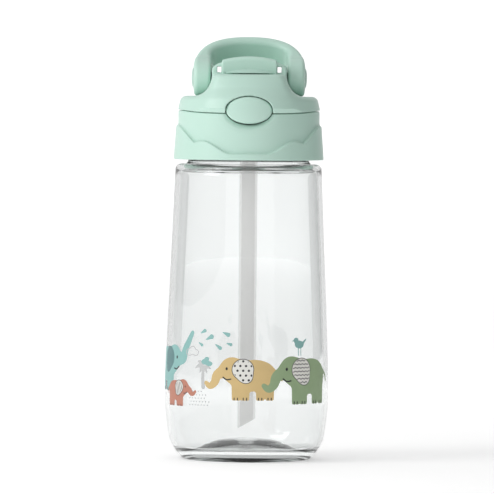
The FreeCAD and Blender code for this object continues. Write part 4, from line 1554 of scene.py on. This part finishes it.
@dataclass
class FlipCover:
    """The flip cover: shallow dome, rising block, two ears, bridge, windows and hinge knuckle."""

    at: Places
    foot_radius: float = 31.7
    lean: float = 0.22
    dome: float = 6.2
    dome_curve: float = 2.3
    wall: float = 2.1
    block_height: float = 9.7
    block_half: tuple[float, float] = (19.8, 15.5)
    block_front: tuple[float, float] = (30.4, 26.0)
    block_back: tuple[float, float] = (24.0, 19.0)
    plan_curve: tuple[float, float] = (31.0, 40.0)
    foot_fillet: float = 4.4
    cavity: tuple[float, float, float] = (12.0, 12.5, 1.4)
    ear_half: float = 16.6
    ear_span: tuple[float, float] = (-14.5, 7.5)
    ear_rise: float = 5.3
    bridge_half: float = 12.2
    bridge_drop: float = 0.8
    bridge_sag: float = 0.0112
    window: tuple[float, float, float] = (13.4, 0.95, 1.3)
    boss: tuple[float, float] = (5.2, 16.85)
    hub_room: float = 8.7
    pin: float = 2.6
    knuckle: tuple[float, float, float] = (4.0, 2.8, 1.3)
    knuckle_root: float = 27.0
    notch: tuple[float, float, float] = (12.65, 29.65, 3.25)
    slit: tuple[float, float, float] = (4.0, 4.0, 1.0)
    lip_half: float = 11.8
    lip_rise: float = 2.2
    pin_inside: float = 12.9
    hole_back: float = 25.6
    hole_drift: float = 0.3
    catch_half: float = 4.0
    catch_front: float = -26.4
    catch_back: tuple[float, float] = (-25.0, -23.8)
    catch_drop: tuple[float, float] = (3.3, 1.7)
    tail: float = 28.5
    hole: tuple[float, float] = (10.5, 6.3)

    @property
    def dome_top(self) -> float:
        """Height of the dome's flat top."""
        return self.at.seam + self.dome

    @property
    def block_top(self) -> float:
        """Height of the block's top."""
        return self.dome_top + self.block_height

    def shell(self, points: Array) -> Array:
        """The dome with the block that rises out of it.

        Args:
            points: Places, one in each row.

        Returns:
            Distances, negative inside.
        """
        x, y, z = points.T
        radius = np.hypot(x, y)
        side = radius - self.foot_radius + self.lean * np.maximum(z - self.at.seam, 0.0)
        dome = meet(side, z - self.dome_top, self.dome_curve)
        share = (z - self.dome_top) / self.block_height
        rising = 0.5 * (share + np.sqrt(share * share + 0.04))
        plan = self.plan_curve[0] + (self.plan_curve[1] - self.plan_curve[0]) * np.clip(rising, 0, 1)
        sag = plan - np.sqrt(np.maximum(plan**2 - x * x, 1.0))
        wide = self.block_half[0] + (self.block_half[1] - self.block_half[0]) * share
        ahead = self.block_front[0] + (self.block_front[1] - self.block_front[0]) * rising
        ahead = ahead + self.lean * np.maximum(self.dome_top - z, 0.0)
        behind = self.block_back[0] + (self.block_back[1] - self.block_back[0]) * share
        block_side = (np.abs(x) - wide) * 0.917
        made = meet(block_side, (sag - y - ahead) * 0.91, 3.0)
        made = meet(made, (sag + y - behind) * 0.89, 3.0)
        made = meet(made, z - self.block_top, 1.4)
        made = np.maximum(made, self.dome_top - 4.0 - z)
        return join(dome, made, self.foot_fillet)

    def ears(self, points: Array) -> Array:
        """The two ears beside the bridge, sloping down to the handle's arms.

        Args:
            points: Places, one in each row.

        Returns:
            Distances, negative inside.
        """
        x, y, z = points.T
        top = self.block_top + self.ear_rise
        made = block(points, (-self.ear_half, self.ear_span[0] + 1.5, self.block_top - 4.0),
                     (self.ear_half, self.ear_span[1], top), 0.9)
        slope = (z - top + (np.abs(x) - self.bridge_half - 1.0) * 0.7) * 0.82
        return meet(made, slope, 0.9)

    def bridge(self, points: Array) -> Array:
        """The arched bridge, with the lip along its front foot.

        Args:
            points: Places, one in each row.

        Returns:
            Distances, negative inside.
        """
        x, y, z = points.T
        crown = self.at.cover_top - self.bridge_drop - self.bridge_sag * x * x
        front = self.ear_span[0] - y - 0.10 * (z - self.block_top)
        made = meet(front, z - crown, 1.8)
        made = meet(made, y - self.ear_span[1], 1.1)
        made = np.maximum(made, self.block_top - 4.0 - z)
        made = meet(made, np.abs(x) - self.bridge_half, 0.6)
        arch = self.block_top + 0.3 + self.lip_rise * np.maximum(1 - (x / self.lip_half)**2, 0)
        lip = np.maximum(z - arch, self.block_top + 0.45 - z)
        lip = np.maximum(lip, (self.ear_span[0] - y - 1.5 * (arch - z)) * 0.55)
        lip = np.maximum(np.maximum(lip, y - self.ear_span[0] - 1.0), np.abs(x) - self.lip_half)
        return join(made, lip, 0.15)

    def field(self, points: Array) -> Array:
        """Distances to the cover's moulding.

        Args:
            points: Places, one in each row.

        Returns:
            Distances, negative inside.
        """
        x, y, z = points.T
        radius = np.hypot(x, y)
        body = self.shell(points)
        body = join(body, self.ears(points), 1.0)
        body = join(body, self.bridge(points), 0.35)
        half, ahead, behind = self.slit
        slit = block(points, (-half, self.ear_span[0] - ahead, self.block_top - 0.1),
                     (half, self.ear_span[0] + behind, self.block_top + 0.3), 0.1)
        body = cut(body, slit, 0.1)
        pivot = (self.at.pivot_y, self.at.pivot_z)
        room = np.maximum(np.hypot(y - pivot[0], z - pivot[1]) - self.hub_room, self.boss[1] - np.abs(x))
        body = cut(body, room, 0.5)
        boss = rod(points, 0, pivot, self.boss[0], -self.boss[1], self.boss[1], 0.4)
        body = join(body, boss, 0.8)
        inner = meet(radius - self.foot_radius + self.wall + self.lean * (z - self.at.seam),
                     z - self.dome_top + self.wall, 1.0)
        inner = np.where(z < self.at.seam - 2, np.minimum(inner, radius - 40), inner)
        wide, deep, roof = self.cavity
        hollow = block(points, (-wide, -deep, self.at.seam - 6), (wide, deep, self.block_top - roof), 0.8)
        body = cut(body, join(inner, hollow, 0.5), 0.2)
        side, height, half = self.window[0], self.block_top + 2.1, self.window[1:]
        frame_x, frame_z = np.abs(np.abs(x) - side) - half[0], np.abs(z - height) - half[1]
        body = cut(body, meet(frame_x, frame_z), 0.25)
        half, front, rise = self.notch
        notch = block(points, (-half, front, THROUGH[0]), (half, front + 15, self.at.hinge_z + rise), 0.3)
        body = cut(body, notch, 0.25)
        half, outer, bore = self.knuckle
        axis = (self.at.hinge_y, self.at.hinge_z)
        arm = block(points, (-half, self.knuckle_root, axis[1] - 0.4), (half, axis[0], axis[1] + outer), 0.2)
        tongue = np.minimum(rod(points, 0, axis, outer, -half, half, 0.3), arm)
        body = np.minimum(body, tongue)
        body = cut(body, rod(points, 0, axis, bore, *ASIDE))
        body = np.minimum(body, self.catch(points))
        body = np.maximum(body, self.low_edge(points))
        pins = np.maximum(np.hypot(y - pivot[0], z - pivot[1]) - self.pin,
                          self.pin_inside - np.abs(x))
        body = cut(body, pins)
        hole = np.maximum(oval(x, z - self.at.button_z - self.hole_drift, *self.hole), y + self.hole_back)
        return cut(body, hole, 0.25)

    def catch(self, points: Array) -> Array:
        """The tongue with the hook that the latch holds.

        Args:
            points: Places, one in each row.

        Returns:
            Distances, negative inside.
        """
        low = (-self.catch_half, self.catch_front, self.at.seam - self.catch_drop[0])
        stem = block(points, low, (self.catch_half, self.catch_back[0], self.dome_top - 1.0), 0.2)
        high = (self.catch_half, self.catch_back[1], self.at.seam - self.catch_drop[1])
        hook = block(points, low, high, 0.3)
        return np.minimum(stem, hook)

    def low_edge(self, points: Array) -> Array:
        """The plane of the seam, which only the catch and the knuckle pass.

        Args:
            points: Places, one in each row.

        Returns:
            Distances, negative inside.
        """
        x, y, z = points.T
        passing = np.minimum(self.catch(points), self.tail - y + np.maximum(np.abs(x) - 5, 0) * 9)
        return np.minimum(self.at.seam - self.at.dip(y) - z, passing)

    def build(self) -> Piece:
        """Make the cover's moulding.

        Returns:
            The piece.
        """
        edge = self.foot_radius + 1.5
        low = (-edge, -edge, self.at.seam - 4.6)
        high = (edge, self.at.hinge_y + 4.0, self.at.cover_top + 1.5)
        return Mould(self.field, low, high, 0.45).cast("cover_moulding")

    def dress(self, dresser: Dresser) -> None:
        """Build the cover's moulding and give it its finish."""
        dresser.dress(self.build(), MINT, "cover", "flip_cover", "mint_shell")


# ---------------------------------------------------------------------------------- carry handle

@dataclass
class Handle:
    """The carry handle: a strap bent into an arch, with a round hub at each end."""

    at: Places
    lean: float = 55.0
    reach: float = 25.2
    straight: float = 4.0
    wall: float = 4.8
    strap: float = 5.9
    squareness: float = 2.4
    hub: float = 8.3
    hub_wall: float = 6.8
    bulge: float = 1.5
    edge: float = 2.35
    bore: float = 2.66
    seat: tuple[float, float] = (4.4, 0.75)
    swell: float = 7.5
    flare: float = 7.5
    thin_edge: float = 0.9

    def shell(self, side: Array, up: Array, half: float, reach: float) -> Array:
        """Distance to the arch's outline of one size, seen square on.

        Args:
            side: Distances to the side.
            up: Distances along the handle.
            half: Its half width.
            reach: Its height over the arms.

        Returns:
            Distances, negative inside.
        """
        power = self.squareness
        over = np.maximum(up - self.straight, 1e-4)
        whole = ((side / half)**power + (over / reach)**power)**(1 / power)
        slope_side = (side / half)**(power - 1) / half * whole**(1 - power)
        slope_up = (over / reach)**(power - 1) / reach * whole**(1 - power)
        return (whole - 1) / np.maximum(np.hypot(slope_side, slope_up), 1e-6)

    def field(self, points: Array) -> Array:
        """Distances to the handle.

        Args:
            points: Places, one in each row.

        Returns:
            Distances, negative inside.
        """
        turn = math.radians(self.lean)
        y, z = points[:, 1] - self.at.pivot_y, points[:, 2] - self.at.pivot_z
        up = y * math.sin(turn) + z * math.cos(turn)
        across = y * math.cos(turn) - z * math.sin(turn)
        side = np.maximum(np.abs(points[:, 0]), 1e-4)
        half = self.at.arm_half
        outer = self.shell(side, up, half, self.reach - self.straight)
        inner = self.shell(side, up, half - self.wall, self.reach - self.straight - self.wall)
        arms = meet(np.abs(across) - self.strap, -up - 1.0, 1.0)
        away = np.hypot(up, across)
        swell = np.exp(-(away / self.swell)**2)
        outer = outer - self.bulge * swell
        inward = ramp(away, self.hub + self.flare, self.hub - 0.5) * (self.hub_wall - self.wall)
        inner = inner + inward
        profile = join(arms, away - self.hub, 3.0)
        profile = np.where(up > self.straight, np.maximum(profile, np.abs(across) - self.strap - 0.9),
                           profile)
        edge = self.edge - self.thin_edge * ramp(away, self.hub + 9.0, self.hub - 2.0)
        made = meet(meet(outer, profile, edge), meet(-inner, profile, edge))
        seat = np.maximum(away - self.seat[0], half + self.seat[1] - side)
        return cut(cut(made, seat, 0.15), away - self.bore, 0.2)

    def build(self) -> Piece:
        """Make the handle.

        Returns:
            The piece.
        """
        half = self.at.handle_half_width + 3.0
        low = (-half, self.at.pivot_y - 9.6, self.at.pivot_z - 9.6)
        high = (half, self.at.pivot_y + 26.0, self.at.pivot_z + 21.0)
        return Mould(self.field, low, high, 0.45).cast("handle_moulding")

    def dress(self, dresser: Dresser) -> None:
        """Build the handle and give it its finish."""
        dresser.dress(self.build(), MINT_HANDLE, "handle", "carry_handle", "mint_handle")


@dataclass
class PivotCap:
    """A handle pivot: a smooth domed cap on a pin."""

    at: Places
    side: int
    radius: float = 4.2
    rise: float = 0.5
    foot: float = 1.2
    pin: float = 2.45
    inner_end: float = 13.2

    def field(self, points: Array) -> Array:
        """Distances to the pivot.

        Args:
            points: Places, one in each row.

        Returns:
            Distances, negative inside.
        """
        out = points[:, 0] * self.side
        away = np.hypot(points[:, 1] - self.at.pivot_y, points[:, 2] - self.at.pivot_z)
        face = self.at.arm_half + self.foot - 0.25
        dome = out - face - 0.35 - self.rise * (1 - (away / self.radius)**2)
        cap = np.maximum(np.maximum(dome * 0.9, face - out), away - self.radius)
        pin = np.maximum(away - self.pin, slab(out, self.inner_end, face + 0.5))
        return np.minimum(cap, pin)

    def build(self) -> Piece:
        """Make the pivot.

        Returns:
            The piece.
        """
        ends = sorted((self.side * (self.inner_end - 1), self.side * (self.at.handle_half_width + 3.2)))
        room = self.radius + 1
        low = (ends[0], self.at.pivot_y - room, self.at.pivot_z - room)
        high = (ends[1], self.at.pivot_y + room, self.at.pivot_z + room)
        return Mould(self.field, low, high, 0.35).cast("pivot_right" if self.side > 0 else "pivot_left")

    def dress(self, dresser: Dresser) -> None:
        """Build the pivot and give it its finish."""
        node = "handle_pivot_right" if self.side > 0 else "handle_pivot_left"
        dresser.dress(self.build(), MINT_HANDLE, "cover", node, "mint_handle")


# ---------------------------------------------------------------------------------- straw and spout

@dataclass
class Straw:
    """The drinking straw, with its slanted lower tip."""

    at: Places
    wall: float = 1.0
    tip: float = 13.6
    slant: float = 4.5
    top: float = 148.45

    def field(self, points: Array) -> Array:
        """Distances to the straw.

        Args:
            points: Places, one in each row.

        Returns:
            Distances, negative inside.
        """
        x, y, z = points.T
        radius = self.at.straw_radius
        ring = np.abs(np.hypot(x, y) - radius + self.wall / 2) - self.wall / 2
        slope = self.slant / (2 * radius)
        under = (self.tip + self.slant / 2 + slope * x - z) / math.hypot(1, slope)
        return meet(meet(ring, under, 0.2), z - self.top, 0.2)

    def build(self) -> Piece:
        """Make the straw.

        Returns:
            The piece.
        """
        edge = self.at.straw_radius + 0.8
        mould = Mould(self.field, (-edge, -edge, self.tip - 1), (edge, edge, self.top + 1), 0.4)
        return mould.cast("straw_tube")

    def dress(self, dresser: Dresser) -> None:
        """Build the straw and give it its finish."""
        dresser.dress(self.build(), MILKY_PLASTIC, "straw_set", "straw", "milky_straw")


@dataclass
class Spout:
    """The soft bite spout, with a slit in its domed tip."""

    at: Places
    sleeve: float = 5.65
    grip: float = 4.05
    flange: tuple[float, float] = (9.0, 1.6)
    root: float = 6.0
    waist: float = 4.9
    tip: float = 6.2
    height: float = 18.4
    socket: float = 8.0
    passage: float = 2.2
    slit: tuple[float, float, float] = (2.6, 0.22, 14.0)

    def field(self, points: Array) -> Array:
        """Distances to the spout.

        Args:
            points: Places, one in each row.

        Returns:
            Distances, negative inside.
        """
        x, y, z = points.T
        base = self.at.deck
        radius = np.hypot(x, y)
        share = (z - base - self.flange[1]) / (self.height - self.flange[1])
        waist = self.waist + (self.root - self.waist) * (1 - ramp(share, 0.0, 0.55))
        belly = (self.tip - self.waist) * ramp(share, 0.62, 0.82) * (1 - ramp(share, 0.86, 1.06) * 0.8)
        stem = meet(radius - waist - belly, z - base - self.height, 1.6)
        stem = np.maximum(stem, base + 0.5 - z)
        plate = rod(points, 2, (0, 0), self.flange[0], base, base + self.flange[1], 0.4)
        skirt = rod(points, 2, (0, 0), self.sleeve, base - self.socket - 0.6, base + 0.8, 0.2)
        body = join(join(stem, plate, 0.9), skirt)
        top = base - 0.6 + 0.05
        body = cut(body, rod(points, 2, (0, 0), self.grip, THROUGH[0], top), 0.2)
        body = cut(body, rod(points, 2, (0, 0), self.passage, top - 1, base + self.height - 1.3), 0.1)
        half, thin, low = self.slit
        slit = block(points, (-half, -thin, base + low), (half, thin, base + 2 * low + 2), 0.1)
        return cut(body, slit, 0.1)

    def build(self) -> Piece:
        """Make the spout.

        Returns:
            The piece.
        """
        edge = self.flange[0] + 1
        low = (-edge, -edge, self.at.deck - self.socket - 2)
        return Mould(self.field, low, (edge, edge, self.at.deck + self.height + 1), 0.4).cast("spout")

    def dress(self, dresser: Dresser) -> None:
        """Build the spout and give it its finish."""
        dresser.dress(self.build(), SOFT_SPOUT, "lid", "mouthpiece", "soft_spout")


# ---------------------------------------------------------------------------------- studio

@dataclass
class Studio:
    """Camera, soft light, white floor, pale backdrop and grey cards out of the camera's sight."""

    target: Vector = field(default_factory=lambda: Vector((-0.0004, 0.0, 0.09455)))
    camera_place: Vector = field(default_factory=lambda: Vector((-0.0004, -2.5, 0.165)))
    lens: float = 408.0
    roll: float = 0.5
    sky: float = 0.67

    def panel(self, name: str, centre: Colour, wide: float, high: float, towards: Colour,
              grey: float, glow: float, seen: bool = True) -> None:
        """Place a flat staged panel.

        Args:
            name: Its name.
            centre: Its middle, in metres.
            wide: Its width.
            high: Its height.
            towards: The direction that it faces.
            grey: How pale it is.
            glow: How much light it gives.
            seen: Whether the camera sees it directly.
        """
        mesh = bpy.data.meshes.new(name)
        corners = [(-wide / 2, -high / 2, 0), (wide / 2, -high / 2, 0), (wide / 2, high / 2, 0),
                   (-wide / 2, high / 2, 0)]
        mesh.from_pydata(corners, [], [(0, 1, 2, 3)])
        made = bpy.data.objects.new(name, mesh)
        bpy.context.scene.collection.objects.link(made)
        made.location = centre
        made.rotation_euler = Vector(towards).to_track_quat("Z", "Y").to_euler()
        material, tree, shader = principled(f"{name}_paper")
        low = (grey * 0.985, grey * 0.985, grey * 0.985)
        tree.links.new(shaded(tree, noise(tree, 3.0), (grey, grey, grey), low), shader.inputs["Base Color"])
        shader.inputs["Roughness"].default_value = 0.9
        shader.inputs["Emission Color"].default_value = (1, 1, 1, 1)
        shader.inputs["Emission Strength"].default_value = glow
        mesh.materials.append(material)
        made.visible_camera = seen

    def light(self, name: str, place: Colour, size: float, power: float) -> None:
        """Hang one soft light that faces the bottle.

        Args:
            name: Its name.
            place: Where it hangs.
            size: Its width.
            power: Its power, in watts.
        """
        data = bpy.data.lights.new(name, "AREA")
        data.shape = "SQUARE"
        data.size = size
        data.energy = power
        made = bpy.data.objects.new(name, data)
        bpy.context.scene.collection.objects.link(made)
        made.location = place
        made.rotation_euler = (Vector((0, 0, 0.11)) - made.location).to_track_quat("-Z", "Y").to_euler()

    def build(self) -> None:
        """Set the whole studio up."""
        scene = bpy.context.scene
        world = bpy.data.worlds.new("studio_sky")
        world.use_nodes = True
        sky = next(item for item in world.node_tree.nodes if item.type == "BACKGROUND")
        sky.inputs["Color"].default_value = (1, 1, 1, 1)
        sky.inputs["Strength"].default_value = self.sky
        scene.world = world
        scene.view_settings.view_transform = "Standard"
        self.panel("floor", (0, 0.2, 0), 5.0, 5.6, (0, 0, 1), 0.9, 0.38)
        self.panel("backdrop", (0, 3.0, 0.45), 5.0, 0.9, (0, -1, 0), 0.5, 0.66)
        for side, word in ((1, "right"), (-1, "left")):
            self.panel(f"edge_{word}", (side * 0.3, 0.6, 0.26), 0.42, 0.5, (-side * 0.4, -1, 0), 0.5,
                       0.38, False)
        self.panel("card_right", (0.27, -0.02, 0.24), 0.62, 0.4, (-1, 0, 0), 0.14, 0.03, False)
        self.light("softbox", (-0.8, -0.4, 0.55), 0.5, 3.1)
        data = bpy.data.cameras.new("camera")
        data.lens = self.lens
        data.sensor_width = 36.0
        camera = bpy.data.objects.new("camera", data)
        scene.collection.objects.link(camera)
        camera.location = self.camera_place
        aim = (self.target - self.camera_place).to_track_quat("-Z", "Y").to_euler()
        camera.rotation_euler = aim
        camera.rotation_euler.rotate_axis("Z", math.radians(self.roll))
        scene.camera = camera


# ---------------------------------------------------------------------------------- putting it together

def motifs() -> list[Animal | Shapes]:
    """The printed row, from the far left to the far right.

    Returns:
        The motifs.
    """
    return [
        Animal((-47.6, 42.5), 14.5, Tone.TEAL, 1, "plain", 1.0),
        water_drops(), cloud(), *palm(), stipple(),
        Animal((-36.4, 31.2), 8.4, Tone.CORAL, 1, "stripes", 0.2),
        Animal((0.4, 38.6), 13.4, Tone.TAN, -1, "dots"),
        Animal((28.9, 38.0), 15.0, Tone.SAGE, -1, "zigzags"),
        bird(),
    ]


def main() -> None:
    """Build and dress every piece, in order."""
    logging.basicConfig(level=logging.INFO, format="%(message)s")
    at = read_places()
    dresser = Dresser()
    bottle = Bottle(at)
    for part in (bottle, Print(bottle, motifs()), LidShell(at), FlipCover(at), Handle(at), PivotCap(at, 1),
                 PivotCap(at, -1), PushButton(at), Straw(at), Spout(at)):
        part.dress(dresser)
    dresser.carry_over()
    Studio().build()


if __name__ == "__main__":
    main()
